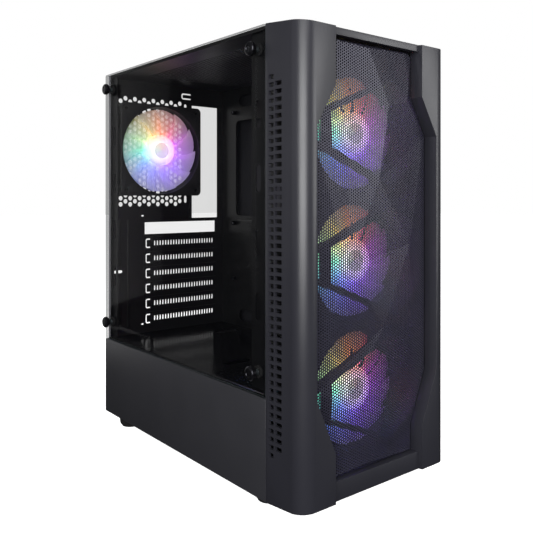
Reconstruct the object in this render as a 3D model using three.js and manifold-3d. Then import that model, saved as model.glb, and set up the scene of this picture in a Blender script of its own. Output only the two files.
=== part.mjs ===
// A mid-tower desktop computer case with four lit 120 mm fans, a glass side and a folded mesh front.
// Millimetres, +Z up, front towards -Y, glass side towards -X. The case is drawn with x = 0 on the
// outside of the glass, y = 0 on the rear panel and z = 0 on the floor, then centred at the end.
import * as THREE from "three";
import { mergeVertices } from "three/addons/utils/BufferGeometryUtils.js";
import Module from "manifold-3d";

const wasm = await Module();
wasm.setup();

// Driving dimensions.
const WIDTH = 200;
const TOP = 449.4;
const FOOT_HEIGHT = 16.3;
const SIDE_FRONT = -331.5; // where the side panels end and the bezel begins
const BEZEL_FRONT = -381.5; // front of the two wings
const GAP = 0.3; // between pieces that touch
const STEEL = 1.2;
const GLASS = 4;
const LIP = 1.2; // return folds of the side panels
const SHROUD_TOP = 109.8;

// Chassis box, inside the two side panels.
const CHASSIS_LEFT = GLASS + 0.5;
const CHASSIS_RIGHT = WIDTH - STEEL - 0.4;
const FLOOR_LOW = FOOT_HEIGHT + GAP;
const FLOOR_HIGH = FLOOR_LOW + STEEL;
const ROOF_LOW = 446.6;
const ROOF_HIGH = ROOF_LOW + STEEL;
const INNER_BACK = -STEEL - GAP; // front side of the rear panel, with its gap
const TRAY_X = 183;
const TRAY_LOW = 98; // the bay below stays open for the disks and the supply
const FRONT_PLATE_BACK = -323.5;
const FRONT_PLATE_FRONT = FRONT_PLATE_BACK - STEEL;
const FOLD_X = 7; // flanges that carry the glass

// Standard openings of an ATX case.
const IO_CUT = { x0: 129.6, x1: 174.0, z0: 262.65, z1: 421.4 };
const SLOT_PITCH = 20.32;
const SLOT_COUNT = 7;
const SLOT_TOP_CENTRE = 250;
const SLOT = { x0: 56, x1: 170, half: 8 };
const REAR_SEAM = 260.3;

// Fans.
const FAN = { size: 120, depth: 25, bore: 57.5, corner: 6, hub: 20.5, tip: 54.5, blades: 7 };
const FRONT_FAN_X = 100;
const FRONT_FAN_Z = [355, 230, 105];
const FRONT_FAN_BACK = FRONT_PLATE_FRONT - GAP;
const REAR_FAN = { x: 69, z: 354, back: INNER_BACK };

// Bezel: a window with a waist, wide in the middle and narrow at both ends.
const WINDOW = { narrow: 40, wide: 17, z0: 38, z1: 65, z2: 117, z3: 354, z4: 392, z5: 437.8 };
const BEZEL_WALL = 2.6;
const STRIP_FRONT = -377;
const RIM_BACK = -366;

// Glass fixings, as [y, z] pairs.
const GLASS_SCREWS = {
  front_upper: [-314, 429],
  front_lower: [-314, 130],
  rear_upper: [-9, 430],
  rear_lower: [-9, 132],
};
const PANEL_SCREWS = { upper: 400, lower: 60 };
const PANEL_SCREW_X = 191.5;
const SCREW = { head: 6.8, headLength: 6.3, shank: 2, hole: 2.6, reach: 14 };

// Power supply, drive bay and top module.
const PSU = { x0: 22, x1: 172, y0: -141.5, z0: 21.5, z1: 107.5, wall: 1.2 };
const PSU_FAN = { x: 97, y: -75, hub: 20, tip: 56, z0: 24, z1: 44 };
const INLET = { x: 48, z: 44, halfX: 14, halfZ: 10 };
const ROCKER = { x: 82, z: 44, halfX: 6, halfZ: 9.5, pivotY: -5, tilt: 7 };
const CAGE = { x0: 30, x1: 178, y0: -300, y1: -186, z1: 94, wall: 1.2 };
const MODULE = { x0: 45, x1: 155, y0: -321, y1: -297, z0: 432, z1: 449.2 };
const MODULE_Y = (MODULE.y0 + MODULE.y1) / 2;
const TOP_BUTTON = { x: 58, r: 7.5, top: 450.2, low: 442 };
const RESET = { x: 74, r: 3, top: 449.8, low: 443 };
const USB = { half: 6.55, halfY: 2.85, wall: 0.45, low: 435, top: 449.2 };
const USB_X = { usb2_port_left: 89, usb2_port_right: 105, usb3_port: 121 };
const JACK_X = { headphone_jack: 135, microphone_jack: 147 };
const JACK = { r: 3.6, bore: 1.8, low: 436, top: 449.2 };

const tower = new THREE.Group();

// ---- shapes, solids and placing -------------------------------------------------------------

function rect(x0, y0, x1, y1) {
  return new THREE.Shape([
    new THREE.Vector2(x0, y0),
    new THREE.Vector2(x1, y0),
    new THREE.Vector2(x1, y1),
    new THREE.Vector2(x0, y1),
  ]);
}

function disc(x, y, r) {
  const shape = new THREE.Shape();
  shape.absarc(x, y, r, 0, Math.PI * 2, false);
  return shape;
}

// A slot with round ends, centred on (x, y), longer along x or along y.
function obround(x, y, lengthX, lengthY) {
  const r = Math.min(lengthX, lengthY) / 2;
  const run = Math.max(lengthX, lengthY) / 2 - r;
  const [dx, dy] = lengthX > lengthY ? [run, 0] : [0, run];
  const turn = lengthX > lengthY ? -Math.PI / 2 : 0;
  const shape = new THREE.Shape();
  shape.absarc(x + dx, y + dy, r, turn, turn + Math.PI, false);
  shape.absarc(x - dx, y - dy, r, turn + Math.PI, turn + Math.PI * 2, false);
  return shape;
}

function roundedRect(x0, y0, x1, y1, r) {
  const shape = new THREE.Shape();
  shape.absarc(x1 - r, y0 + r, r, -Math.PI / 2, 0, false);
  shape.absarc(x1 - r, y1 - r, r, 0, Math.PI / 2, false);
  shape.absarc(x0 + r, y1 - r, r, Math.PI / 2, Math.PI, false);
  shape.absarc(x0 + r, y0 + r, r, Math.PI, Math.PI * 1.5, false);
  return shape;
}

function polygon(points) {
  return new THREE.Shape(points.map(([x, y]) => new THREE.Vector2(x, y)));
}

function withHoles(shape, holes) {
  shape.holes.push(...holes);
  return shape;
}

function extrude(shape, depth, segments) {
  return new THREE.ExtrudeGeometry(shape, { depth, bevelEnabled: false, curveSegments: segments });
}

// A plan outline (x, y) raised from z0 to z1.
function upZ(shape, z0, z1, segments = 8) {
  return extrude(shape, z1 - z0, segments).translate(0, 0, z0);
}

// A front outline (x, z) carried from y0 to y1.
function alongY(shape, y0, y1, segments = 8) {
  return extrude(shape, y1 - y0, segments).rotateX(Math.PI / 2).translate(0, y1, 0);
}

// A side outline (y, z) carried from x0 to x1.
function alongX(shape, x0, x1, segments = 8) {
  const turn = new THREE.Matrix4().set(0, 0, 1, 0, 1, 0, 0, 0, 0, 1, 0, 0, 0, 0, 0, 1);
  return extrude(shape, x1 - x0, segments).applyMatrix4(turn).translate(x0, 0, 0);
}

function block(x0, x1, y0, y1, z0, z1) {
  const box = new THREE.BoxGeometry(x1 - x0, y1 - y0, z1 - z0);
  return box.translate((x0 + x1) / 2, (y0 + y1) / 2, (z0 + z1) / 2);
}

function solid(geometry) {
  const bare = geometry.clone();
  bare.deleteAttribute("normal");
  bare.deleteAttribute("uv");
  const merged = mergeVertices(bare, 1e-4);
  return new wasm.Manifold(
    new wasm.Mesh({
      numProp: 3,
      vertProperties: merged.attributes.position.array,
      triVerts: new Uint32Array(merged.index.array),
    }),
  );
}

function geometryOf(made) {
  const mesh = made.getMesh();
  const geometry = new THREE.BufferGeometry();
  geometry.setAttribute("position", new THREE.BufferAttribute(mesh.vertProperties, 3));
  geometry.setIndex(new THREE.BufferAttribute(mesh.triVerts, 1));
  geometry.computeVertexNormals();
  return geometry;
}

// Everything in `kept` joined, with everything in `cut` taken away.
function carve(kept, cut = []) {
  let made = solid(kept[0]);
  kept.slice(1).forEach((piece) => {
    made = made.add(solid(piece));
  });
  cut.forEach((piece) => {
    made = made.subtract(solid(piece));
  });
  return geometryOf(made);
}

function finish(color, roughness, metalness, extra = {}) {
  return new THREE.MeshStandardMaterial({ color, roughness, metalness, ...extra });
}

const blackSteel = () => finish(0x1d1d20, 0.55, 0.3);
const blackPlastic = () => finish(0x2a2a2e, 0.5, 0.0);
const wingPlastic = () => finish(0x3c3c44, 0.45, 0.0);
const smokedGlass = () => finish(0x1a1c1f, 0.05, 0.0, { transparent: true, opacity: 0.35 });
const blackRubber = () => finish(0x141414, 0.9, 0.0);
const blackScrew = () => finish(0x101012, 0.3, 0.8);
const litPlastic = () => finish(0xdfe4ff, 0.4, 0.0);
const plainMetal = () => finish(0xb0b2b6, 0.35, 0.9);

function add(name, geometry, material) {
  const mesh = new THREE.Mesh(geometry, material);
  mesh.name = name;
  tower.add(mesh);
}

// ---- chassis --------------------------------------------------------------------------------

function slotCentre(row) {
  return SLOT_TOP_CENTRE - row * SLOT_PITCH;
}

// The rear panel, from z = low to z = high: its upper and lower halves meet above the card slots.
function rearPanel(low, high) {
  const sheet = rect(CHASSIS_LEFT, FLOOR_LOW, CHASSIS_RIGHT, TOP);
  const holes = [rect(IO_CUT.x0, IO_CUT.z0, IO_CUT.x1, IO_CUT.z1)];
  for (let row = 0; row < SLOT_COUNT; row += 1) {
    const z = slotCentre(row);
    holes.push(rect(SLOT.x0, z - SLOT.half, SLOT.x1, z + SLOT.half));
  }
  holes.push(rect(PSU.x0 + 3, PSU.z0 + 2.5, PSU.x1 - 3, PSU.z1 - 2.5));
  Object.values(PANEL_SCREWS).forEach((z) => holes.push(disc(PANEL_SCREW_X, z, SCREW.hole)));
  const rearScrews = [GLASS_SCREWS.rear_upper, GLASS_SCREWS.rear_lower];
  const fold = rect(-20, SHROUD_TOP + 4, -STEEL / 2, ROOF_LOW - GAP);
  withHoles(fold, rearScrews.map(([y, z]) => disc(y, z, SCREW.hole)));
  const panel = solid(alongY(withHoles(sheet, holes), -STEEL, 0));
  const whole = panel.add(solid(alongX(fold, FOLD_X, FOLD_X + STEEL)));
  return geometryOf(whole.intersect(solid(block(0, WIDTH, -30, 1, low, high))));
}

function motherboardTray() {
  const sheet = rect(FRONT_PLATE_BACK + GAP, TRAY_LOW, INNER_BACK, ROOF_LOW - GAP);
  const holes = [
    rect(-170, 266, -37, 400), // processor cut-out
    obround(-262, 340, 26, 84),
    obround(-262, 210, 26, 84),
  ];
  [-60, -130, -200, -262].forEach((y) => holes.push(obround(y, 428, 34, 16)));
  [-60, -130, -200].forEach((y) => holes.push(obround(y, 126, 34, 16)));
  return alongX(withHoles(sheet, holes), TRAY_X, TRAY_X + STEEL, 3);
}

function frontChassisPlate() {
  const sheet = rect(CHASSIS_LEFT, FLOOR_HIGH + GAP, CHASSIS_RIGHT, ROOF_LOW - GAP);
  withHoles(sheet, FRONT_FAN_Z.map((z) => disc(FRONT_FAN_X, z, FAN.bore)));
  const fold = rect(FRONT_PLATE_FRONT + STEEL / 2, SHROUD_TOP + 4, -302, ROOF_LOW - GAP);
  const frontScrews = [GLASS_SCREWS.front_upper, GLASS_SCREWS.front_lower];
  withHoles(fold, frontScrews.map(([y, z]) => disc(y, z, SCREW.hole)));
  return carve([
    alongY(sheet, FRONT_PLATE_FRONT, FRONT_PLATE_BACK, 14),
    alongX(fold, FOLD_X, FOLD_X + STEEL),
  ]);
}

function chassisFloor() {
  const sheet = rect(CHASSIS_LEFT, SIDE_FRONT + GAP, CHASSIS_RIGHT, INNER_BACK);
  return upZ(sheet, FLOOR_LOW, FLOOR_HIGH);
}

function chassisTop() {
  const sheet = rect(CHASSIS_LEFT, SIDE_FRONT + GAP, CHASSIS_RIGHT, INNER_BACK);
  const hole = rect(MODULE.x0 - GAP, MODULE.y0 - GAP, MODULE.x1 + GAP, MODULE.y1 + GAP);
  return upZ(withHoles(sheet, [hole]), ROOF_LOW, ROOF_HIGH);
}

function psuShroud() {
  const left = FOLD_X;
  const right = TRAY_X - GAP;
  const front = FRONT_PLATE_BACK + GAP;
  const roof = withHoles(rect(left, front, right, INNER_BACK), [
    obround(150, -205, 34, 22),
    obround(150, -60, 34, 16),
    obround(60, -205, 34, 16),
  ]);
  const wall = rect(front, FLOOR_HIGH + GAP, INNER_BACK, SHROUD_TOP);
  return carve([
    upZ(roof, SHROUD_TOP - STEEL, SHROUD_TOP, 4),
    alongX(wall, left, left + STEEL),
  ]);
}

function slotCover(row) {
  const z = slotCentre(row);
  const half = SLOT.half - GAP;
  const tab = block(SLOT.x0 + 1, SLOT.x0 + 9, INNER_BACK - STEEL, -STEEL / 2, z - 6, z + 6);
  const sheet = block(SLOT.x0 + GAP, SLOT.x1 - GAP, -STEEL, 0, z - half, z + half);
  return carve([sheet, tab]);
}

// ---- side panels ----------------------------------------------------------------------------

function glassPanel() {
  const pane = roundedRect(SIDE_FRONT, SHROUD_TOP, 0, TOP, 2);
  const holes = Object.values(GLASS_SCREWS).map(([y, z]) => disc(y, z, SCREW.hole + 0.4));
  return alongX(withHoles(pane, holes), 0, GLASS, 5);
}

function shroudSideCover() {
  const high = SHROUD_TOP - GAP;
  return carve([
    block(0, STEEL, SIDE_FRONT, 0, FOOT_HEIGHT, high),
    block(0, GLASS, SIDE_FRONT, 0, high - LIP, high),
    block(0, GLASS, SIDE_FRONT, 0, FOOT_HEIGHT, FOOT_HEIGHT + LIP),
  ]);
}

function rightSidePanel() {
  const inner = WIDTH - 14;
  const holes = Object.values(PANEL_SCREWS).map((z) => disc(PANEL_SCREW_X, z, SCREW.hole));
  const ear = withHoles(rect(inner, FLOOR_LOW, WIDTH, TOP), holes);
  return carve([
    block(WIDTH - STEEL, WIDTH, SIDE_FRONT, GAP + LIP, FOOT_HEIGHT, TOP),
    alongY(ear, GAP, GAP + LIP),
    block(WIDTH - STEEL - 8, WIDTH, SIDE_FRONT, SIDE_FRONT + LIP, ROOF_HIGH + GAP, TOP),
  ]);
}

// A knurled head on a plain shank, made along +Z with its seat at z = 0.
function thumbscrew() {
  const teeth = 16;
  const head = new THREE.Shape();
  for (let i = 0; i < teeth * 2; i += 1) {
    const angle = (i * Math.PI) / teeth;
    const r = i % 2 ? SCREW.head : SCREW.head - 0.5;
    const point = [Math.cos(angle) * r, Math.sin(angle) * r];
    if (i) head.lineTo(...point);
    else head.moveTo(...point);
  }
  const shank = new THREE.CylinderGeometry(SCREW.shank, SCREW.shank, SCREW.reach + 1, 12);
  shank.rotateX(Math.PI / 2).translate(0, 0, -(SCREW.reach - 1) / 2);
  return carve([upZ(head, 0, SCREW.headLength), shank]);
}

function glassThumbscrew(y, z) {
  return thumbscrew().rotateY(-Math.PI / 2).translate(-GAP, y, z);
}

function panelThumbscrew(z) {
  return thumbscrew().rotateX(-Math.PI / 2).translate(PANEL_SCREW_X, GAP + LIP + GAP, z);
}

function glassStandoff(y, z) {
  const ring = withHoles(disc(y, z, 6), [disc(y, z, SCREW.hole)]);
  return alongX(ring, GLASS + GAP, FOLD_X - GAP, 5);
}

// ---- front ----------------------------------------------------------------------------------

// The window's outline, grown by `by`; `reach` carries its two ends past the bezel's strips.
function windowOutline(by = 0, reach = 0) {
  const narrow = WINDOW.narrow - by;
  const wide = WINDOW.wide - by;
  const left = [
    [narrow, WINDOW.z5 + by + reach],
    [narrow, WINDOW.z4],
    [wide, WINDOW.z3],
    [wide, WINDOW.z2],
    [narrow, WINDOW.z1],
    [narrow, WINDOW.z0 - by - reach],
  ];
  const right = left.map(([x, z]) => [WIDTH - x, z]).reverse();
  return polygon([...left, ...right]);
}

// Plan of the bezel, inset by `by`: square at the back, rounded at the two front corners.
function bezelPlan(by, back) {
  const r = 15 - by;
  const left = by;
  const right = WIDTH - by;
  const front = BEZEL_FRONT + by;
  const shape = new THREE.Shape();
  shape.moveTo(right, back);
  shape.lineTo(left, back);
  shape.absarc(left + r, front + r, r, Math.PI, Math.PI * 1.5, false);
  shape.absarc(right - r, front + r, r, -Math.PI / 2, 0, false);
  return shape;
}

function bezelSide(by) {
  const drop = 5.6;
  const rise = 4.6;
  return polygon([
    [SIDE_FRONT - GAP + by, FOOT_HEIGHT + by],
    [SIDE_FRONT - GAP + by, TOP - by],
    [BEZEL_FRONT - 1, TOP - drop - by],
    [BEZEL_FRONT - 1, FOOT_HEIGHT + rise + by],
  ]);
}

function frontBezel() {
  const back = SIDE_FRONT - GAP;
  const low = FOOT_HEIGHT - 2;
  const high = TOP + 2;
  const wall = BEZEL_WALL;
  const outer = solid(upZ(bezelPlan(0, back), low, high, 8)).intersect(
    solid(alongX(bezelSide(0), -1, WIDTH + 1)),
  );
  const hollow = solid(upZ(bezelPlan(wall, back + 1), low, high, 8)).intersect(
    solid(alongX(bezelSide(wall), -1, WIDTH + 1).translate(0, wall + 1, 0)),
  );
  const hollowFront = solid(block(-1, WIDTH + 1, STRIP_FRONT + wall, 0, low, high));
  const rim = solid(alongY(windowOutline(2.2), STRIP_FRONT + 1, RIM_BACK)).intersect(outer);
  const recess = solid(alongY(windowOutline(0, 30), BEZEL_FRONT - 5, STRIP_FRONT));
  const opening = solid(alongY(windowOutline(), BEZEL_FRONT - 5, RIM_BACK + 5));
  const shell = outer.subtract(hollow.intersect(hollowFront));
  return geometryOf(shell.add(rim).subtract(recess).subtract(opening));
}

// Fold points of the front mesh as [x, z, how far forward of its rim], and its facets.
const FOLDS = {
  edge: [
    [45, 436],
    [44, 394],
    [22, 355],
    [22, 116],
    [44, 64],
    [44, 38.6],
    [156, 38.6],
    [156, 64],
    [178, 116],
    [178, 355],
    [156, 394],
    [156, 432],
    [152, 436],
  ],
  crown: [
    [89, 432, 5.5],
    [115, 380, 8],
    [146, 388, 5],
    [62, 340, 6],
    [101, 309, 8.5],
    [148, 246, 6],
    [60, 228, 7.5],
    [108, 170, 8.5],
    [150, 150, 6],
    [62, 110, 6.5],
    [112, 84, 8],
    [90, 44, 5.5],
  ],
};
const MESH_RIM = -369.5;
const MESH_SHEET = 1;

function frontMesh() {
  const edge = FOLDS.edge.map(([x, z]) => [x, z, 0]);
  const points = [...edge, ...FOLDS.crown];
  const facets = foldedFacets(edge.length, points);
  const vertices = [];
  points.forEach(([x, z, out]) => vertices.push(x, MESH_RIM - out, z));
  points.forEach(([x, z, out]) => vertices.push(x, MESH_RIM - out + MESH_SHEET, z));
  const count = points.length;
  const index = [];
  facets.forEach(([a, b, c]) => {
    index.push(a, b, c);
    index.push(a + count, c + count, b + count);
  });
  for (let i = 0; i < edge.length; i += 1) {
    const j = (i + 1) % edge.length;
    index.push(j, i, i + count);
    index.push(j, i + count, j + count);
  }
  const geometry = new THREE.BufferGeometry();
  geometry.setAttribute("position", new THREE.Float32BufferAttribute(vertices, 3));
  geometry.setIndex(index);
  return carve([geometry]);
}

// Delaunay facets over the fold points, kept where their middle lies inside the rim.
function foldedFacets(rimCount, points) {
  const rim = points.slice(0, rimCount);
  const facets = [];
  for (let a = 0; a < points.length; a += 1) {
    for (let b = a + 1; b < points.length; b += 1) {
      for (let c = b + 1; c < points.length; c += 1) {
        const corners = [points[a], points[b], points[c]];
        if (!isDelaunay(corners, points) || !isInside(middle(corners), rim)) continue;
        facets.push(turns(corners) > 0 ? [a, b, c] : [a, c, b]);
      }
    }
  }
  return facets;
}

function turns([p, q, r]) {
  return (q[0] - p[0]) * (r[1] - p[1]) - (q[1] - p[1]) * (r[0] - p[0]);
}

function middle(corners) {
  return [0, 1].map((axis) => corners.reduce((sum, p) => sum + p[axis], 0) / 3);
}

function isDelaunay(corners, points) {
  const area = turns(corners);
  if (Math.abs(area) < 1) return false;
  const [p, q, r] = area > 0 ? corners : [corners[0], corners[2], corners[1]];
  return points.every((s) => {
    if (corners.includes(s)) return true;
    const rows = [p, q, r].map(([x, z]) => {
      const dx = x - s[0];
      const dz = z - s[1];
      return [dx, dz, dx * dx + dz * dz];
    });
    const [u, v, w] = rows;
    const det =
      u[0] * (v[1] * w[2] - v[2] * w[1]) -
      u[1] * (v[0] * w[2] - v[2] * w[0]) +
      u[2] * (v[0] * w[1] - v[1] * w[0]);
    return det <= 1e-6;
  });
}

function isInside([x, z], rim) {
  let inside = false;
  rim.forEach(([x0, z0], i) => {
    const [x1, z1] = rim[(i + 1) % rim.length];
    const crosses = z0 > z !== z1 > z;
    if (crosses && x < ((x1 - x0) * (z - z0)) / (z1 - z0) + x0) inside = !inside;
  });
  return inside;
}

const RIB = { width: 4.6, front: -364, back: -354 };
const HEX = { left: 49, right: 165, tip: 113, side: 18, tall: 43.5 };

// A straight bar between two points of the front view.
function bar([x0, z0], [x1, z1], width, front, back) {
  const length = Math.hypot(x1 - x0, z1 - z0) + width;
  const angle = Math.atan2(z1 - z0, x1 - x0);
  const box = new THREE.BoxGeometry(length, back - front, width);
  box.rotateY(-angle);
  return box.translate((x0 + x1) / 2, (front + back) / 2, (z0 + z1) / 2);
}

function hexSupportFrame() {
  const bars = [];
  const join = (p, q) => bars.push(bar(p, q, RIB.width, RIB.front, RIB.back));
  const bounds = { left: 14.5, right: 185.5, low: 34, high: 441 };
  FRONT_FAN_Z.forEach((z) => {
    const top = [HEX.tip, z + HEX.tall];
    const bottom = [HEX.tip, z - HEX.tall];
    const corners = [HEX.left, HEX.right].flatMap((x) => [[x, z + HEX.side], [x, z - HEX.side]]);
    join(top, corners[0]);
    join(bottom, corners[1]);
    join(top, corners[2]);
    join(bottom, corners[3]);
    join(corners[0], corners[1]);
    join(corners[2], corners[3]);
    join(corners[0], [bounds.left, z + HEX.side - 10]);
    join(corners[1], [bounds.left, z - HEX.side + 10]);
    join(corners[2], [bounds.right, z + HEX.side - 8]);
    join(corners[3], [bounds.right, z - HEX.side + 8]);
  });
  join([HEX.tip, bounds.high - 4], [HEX.tip, FRONT_FAN_Z[0] + HEX.tall]);
  join([HEX.tip, FRONT_FAN_Z[0] - HEX.tall], [HEX.tip, FRONT_FAN_Z[1] + HEX.tall]);
  join([HEX.tip, FRONT_FAN_Z[1] - HEX.tall], [HEX.tip, FRONT_FAN_Z[2] + HEX.tall]);
  join([HEX.tip, FRONT_FAN_Z[2] - HEX.tall], [HEX.tip, bounds.low]);
  const ring = withHoles(rect(bounds.left - 3, bounds.low - 3, bounds.right + 3, bounds.high - 2), [
    rect(bounds.left, bounds.low, bounds.right, bounds.high - 5),
  ]);
  return carve([alongY(ring, RIB.front, RIB.back), ...bars]);
}

// ---- fans -----------------------------------------------------------------------------------

// A square frame with a round duct, its outlet side at y = 0 and its inlet side towards -Y.
function fanFrame(x, z, back) {
  const half = FAN.size / 2;
  const square = roundedRect(x - half, z - half, x + half, z + half, FAN.corner);
  const duct = alongY(disc(x, z, FAN.bore), back - FAN.depth - 1, back + 1, 14);
  const struts = [0, 1].map((i) => {
    const strut = new THREE.BoxGeometry(FAN.bore * 2 + 1, 3, 5);
    return strut.rotateY(Math.PI / 4 + (i * Math.PI) / 2).translate(x, back - 1.5, z);
  });
  const mount = alongY(disc(x, z, FAN.hub - 1.5), back - 3, back, 6);
  const frame = solid(alongY(square, back - FAN.depth, back, 2)).subtract(solid(duct));
  return geometryOf([mount, ...struts].reduce((made, piece) => made.add(solid(piece)), frame));
}

// A hub with pitched blades, made along +Z from z = 0 to z = depth.
function rotor(hubRadius, tipRadius, depth, blades) {
  const hub = upZ(disc(0, 0, hubRadius), 0, depth, 10);
  const length = tipRadius - hubRadius + 3;
  const pieces = [hub];
  for (let i = 0; i < blades; i += 1) {
    const blade = new THREE.BoxGeometry(length, 22, 1.4);
    blade.rotateX((38 * Math.PI) / 180);
    blade.translate(hubRadius - 3 + length / 2, 0, depth / 2);
    pieces.push(blade.rotateZ((i * 2 * Math.PI) / blades));
  }
  return carve(pieces);
}

function fanRotor(x, z, back) {
  const depth = 19;
  return rotor(FAN.hub, FAN.tip, depth, FAN.blades).rotateX(Math.PI / 2).translate(x, back - 4, z);
}

// ---- top ------------------------------------------------------------------------------------

function topDustFilter() {
  const frame = roundedRect(28, -288, 172, -38, 6);
  return upZ(frame, ROOF_HIGH + GAP, TOP + 0.2, 5);
}

function ioModuleHousing() {
  const cuts = [
    upZ(disc(TOP_BUTTON.x, MODULE_Y, TOP_BUTTON.r + 0.4), 440, 460, 12),
    upZ(disc(RESET.x, MODULE_Y, RESET.r + 0.4), 441, 460, 8),
  ];
  const open = GAP + 0.1;
  Object.values(USB_X).forEach((x) => {
    const y = MODULE_Y;
    const [dx, dy] = [USB.half + open, USB.halfY + open];
    cuts.push(block(x - dx, x + dx, y - dy, y + dy, USB.low - open, 460));
  });
  Object.values(JACK_X).forEach((x) => {
    cuts.push(upZ(disc(x, MODULE_Y, JACK.r + open), JACK.low - open, 460, 8));
  });
  const body = roundedRect(MODULE.x0, MODULE.y0, MODULE.x1, MODULE.y1, 3);
  return carve([upZ(body, MODULE.z0, MODULE.z1, 4)], cuts);
}

function roundButton({ x, r, top, low }) {
  const profile = [
    [0, low],
    [r, low],
    [r, top - 0.5],
    [r - 0.5, top],
    [0, top],
  ].map(([a, b]) => new THREE.Vector2(a, b));
  return new THREE.LatheGeometry(profile, 24).rotateX(Math.PI / 2).translate(x, MODULE_Y, 0);
}

function usbPort(x) {
  const y = MODULE_Y;
  const outer = block(x - USB.half, x + USB.half, y - USB.halfY, y + USB.halfY, USB.low, USB.top);
  const [dx, dy] = [USB.half - USB.wall, USB.halfY - USB.wall];
  const mouth = block(x - dx, x + dx, y - dy, y + dy, USB.low + 2, USB.top + 5);
  const tongue = block(x - dx + 0.7, x + dx - 0.7, y, y + 1.7, USB.low + 1, USB.top - 1);
  return geometryOf(solid(outer).subtract(solid(mouth)).add(solid(tongue)));
}

function audioJack(x) {
  const barrel = upZ(disc(x, MODULE_Y, JACK.r), JACK.low, JACK.top, 8);
  return carve([barrel], [upZ(disc(x, MODULE_Y, JACK.bore), JACK.low + 2, JACK.top + 1, 8)]);
}

// ---- bottom ---------------------------------------------------------------------------------

function foot(x, y) {
  const profile = [
    [0, 0],
    [11.5, 0],
    [13, 1.5],
    [15, FOOT_HEIGHT],
    [0, FOOT_HEIGHT],
  ].map(([a, b]) => new THREE.Vector2(a, b));
  return new THREE.LatheGeometry(profile, 20).rotateX(Math.PI / 2).translate(x, y, 0);
}

function psuCase() {
  const { x0, x1, y0, z0, z1, wall } = PSU;
  const y1 = INNER_BACK;
  const inlet = INLET;
  const rocker = ROCKER;
  const clear = 0.4;
  const hollow = block(x0 + wall, x1 - wall, y0 + wall, y1 - wall, z0 + wall, z1 - wall);
  const inletHole = block(
    inlet.x - inlet.halfX - clear,
    inlet.x + inlet.halfX + clear,
    y1 - 5,
    y1 + 5,
    inlet.z - inlet.halfZ - clear,
    inlet.z + inlet.halfZ + clear,
  );
  const rockerHole = block(
    rocker.x - rocker.halfX - clear,
    rocker.x + rocker.halfX + clear,
    y1 - 5,
    y1 + 5,
    rocker.z - rocker.halfZ - 1.2,
    rocker.z + rocker.halfZ + 1.2,
  );
  const cableExit = block(x1 - 46, x1 - 14, y0 - 5, y0 + 5, z0 + 20, z0 + 50);
  const intake = upZ(disc(PSU_FAN.x, PSU_FAN.y, PSU_FAN.tip + 3), z0 - 5, z0 + 5, 14);
  return carve([block(x0, x1, y0, y1, z0, z1)], [hollow, inletHole, rockerHole, cableExit, intake]);
}

function psuFanRotor() {
  const depth = PSU_FAN.z1 - PSU_FAN.z0;
  return rotor(PSU_FAN.hub, PSU_FAN.tip, depth, 7).translate(PSU_FAN.x, PSU_FAN.y, PSU_FAN.z0);
}

function psuInlet() {
  const { x, z, halfX, halfZ } = INLET;
  const body = block(x - halfX, x + halfX, -20, -0.6, z - halfZ, z + halfZ);
  const socket = block(x - 12, x + 12, -18, 5, z - 8, z + 8);
  const pins = [-7, 0, 7].map((dx) => {
    const dz = dx ? -2 : 2;
    return solid(block(x + dx - 1, x + dx + 1, -19, -8, z + dz - 2, z + dz + 2));
  });
  let made = solid(body).subtract(solid(socket));
  pins.forEach((pin) => {
    made = made.add(pin);
  });
  return geometryOf(made);
}

// A rocker with a shallow V face, tipped about its pivot so that its lower half lies flush.
function psuSwitch() {
  const { x, z, halfX, halfZ, pivotY, tilt } = ROCKER;
  const profile = polygon([
    [-3, 3 - halfZ],
    [-3, halfZ - 3],
    [3.4, halfZ],
    [5.2, halfZ],
    [3.6, 0],
    [5.2, -halfZ],
    [3.4, -halfZ],
  ]);
  const rocker = alongX(profile, x - halfX, x + halfX);
  return rocker.rotateX((tilt * Math.PI) / 180).translate(0, pivotY, z);
}

function driveCage() {
  const { x0, x1, y0, y1, z1, wall } = CAGE;
  const z0 = FLOOR_HIGH + GAP;
  const bay = (z1 - z0 - wall * 3) / 2;
  const cuts = [0, 1].map((i) => {
    const low = z0 + wall + i * (bay + wall);
    return block(x0 - 5, x1 + 5, y0 + wall, y1 - wall, low, low + bay);
  });
  return carve([block(x0, x1, y0, y1, z0, z1)], cuts);
}

// A shallow plastic tray for one disk, with a handle at its right-hand end.
function driveTray(row) {
  const { x0, x1, y0, y1, z1, wall } = CAGE;
  const floor = FLOOR_HIGH + GAP;
  const bay = (z1 - floor - wall * 3) / 2;
  const z = floor + wall + row * (bay + wall) + GAP;
  const [front, back] = [y0 + wall + GAP, y1 - wall - GAP];
  return carve([
    block(x0 + 2, x1, front, back, z, z + 2.4),
    block(x0 + 2, x1, front, front + 2.4, z, z + 20),
    block(x0 + 2, x1, back - 2.4, back, z, z + 20),
    block(x1 - 1, x1 + 3, front, back, z, z + bay - 2 * GAP),
  ]);
}

function psuDustFilter() {
  const plate = roundedRect(42, -172, 158, -4, 4);
  const grip = block(80, 120, -6, -0.5, 12.4, 15.8);
  return carve([upZ(plate, 13.4, 15.8, 4), grip]);
}

function fanHub() {
  const low = TRAY_X + STEEL + GAP;
  const body = block(low, low + 11, -246, -186, 150, 236);
  const sockets = [0, 1, 2, 3, 4].map((i) => {
    const z = 156 + i * 16;
    return block(low + 3, low + 8, -251, -240, z, z + 10);
  });
  return carve([body], sockets);
}

function ssdBracket() {
  const low = TRAY_X + STEEL + GAP;
  return carve([
    block(low, low + STEEL, -178, -74, 140, 214),
    block(low, low + 9, -178, -178 + STEEL, 140, 214),
    block(low, low + 9, -74 - STEEL, -74, 140, 214),
  ]);
}

// ---- assembly -------------------------------------------------------------------------------

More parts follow.
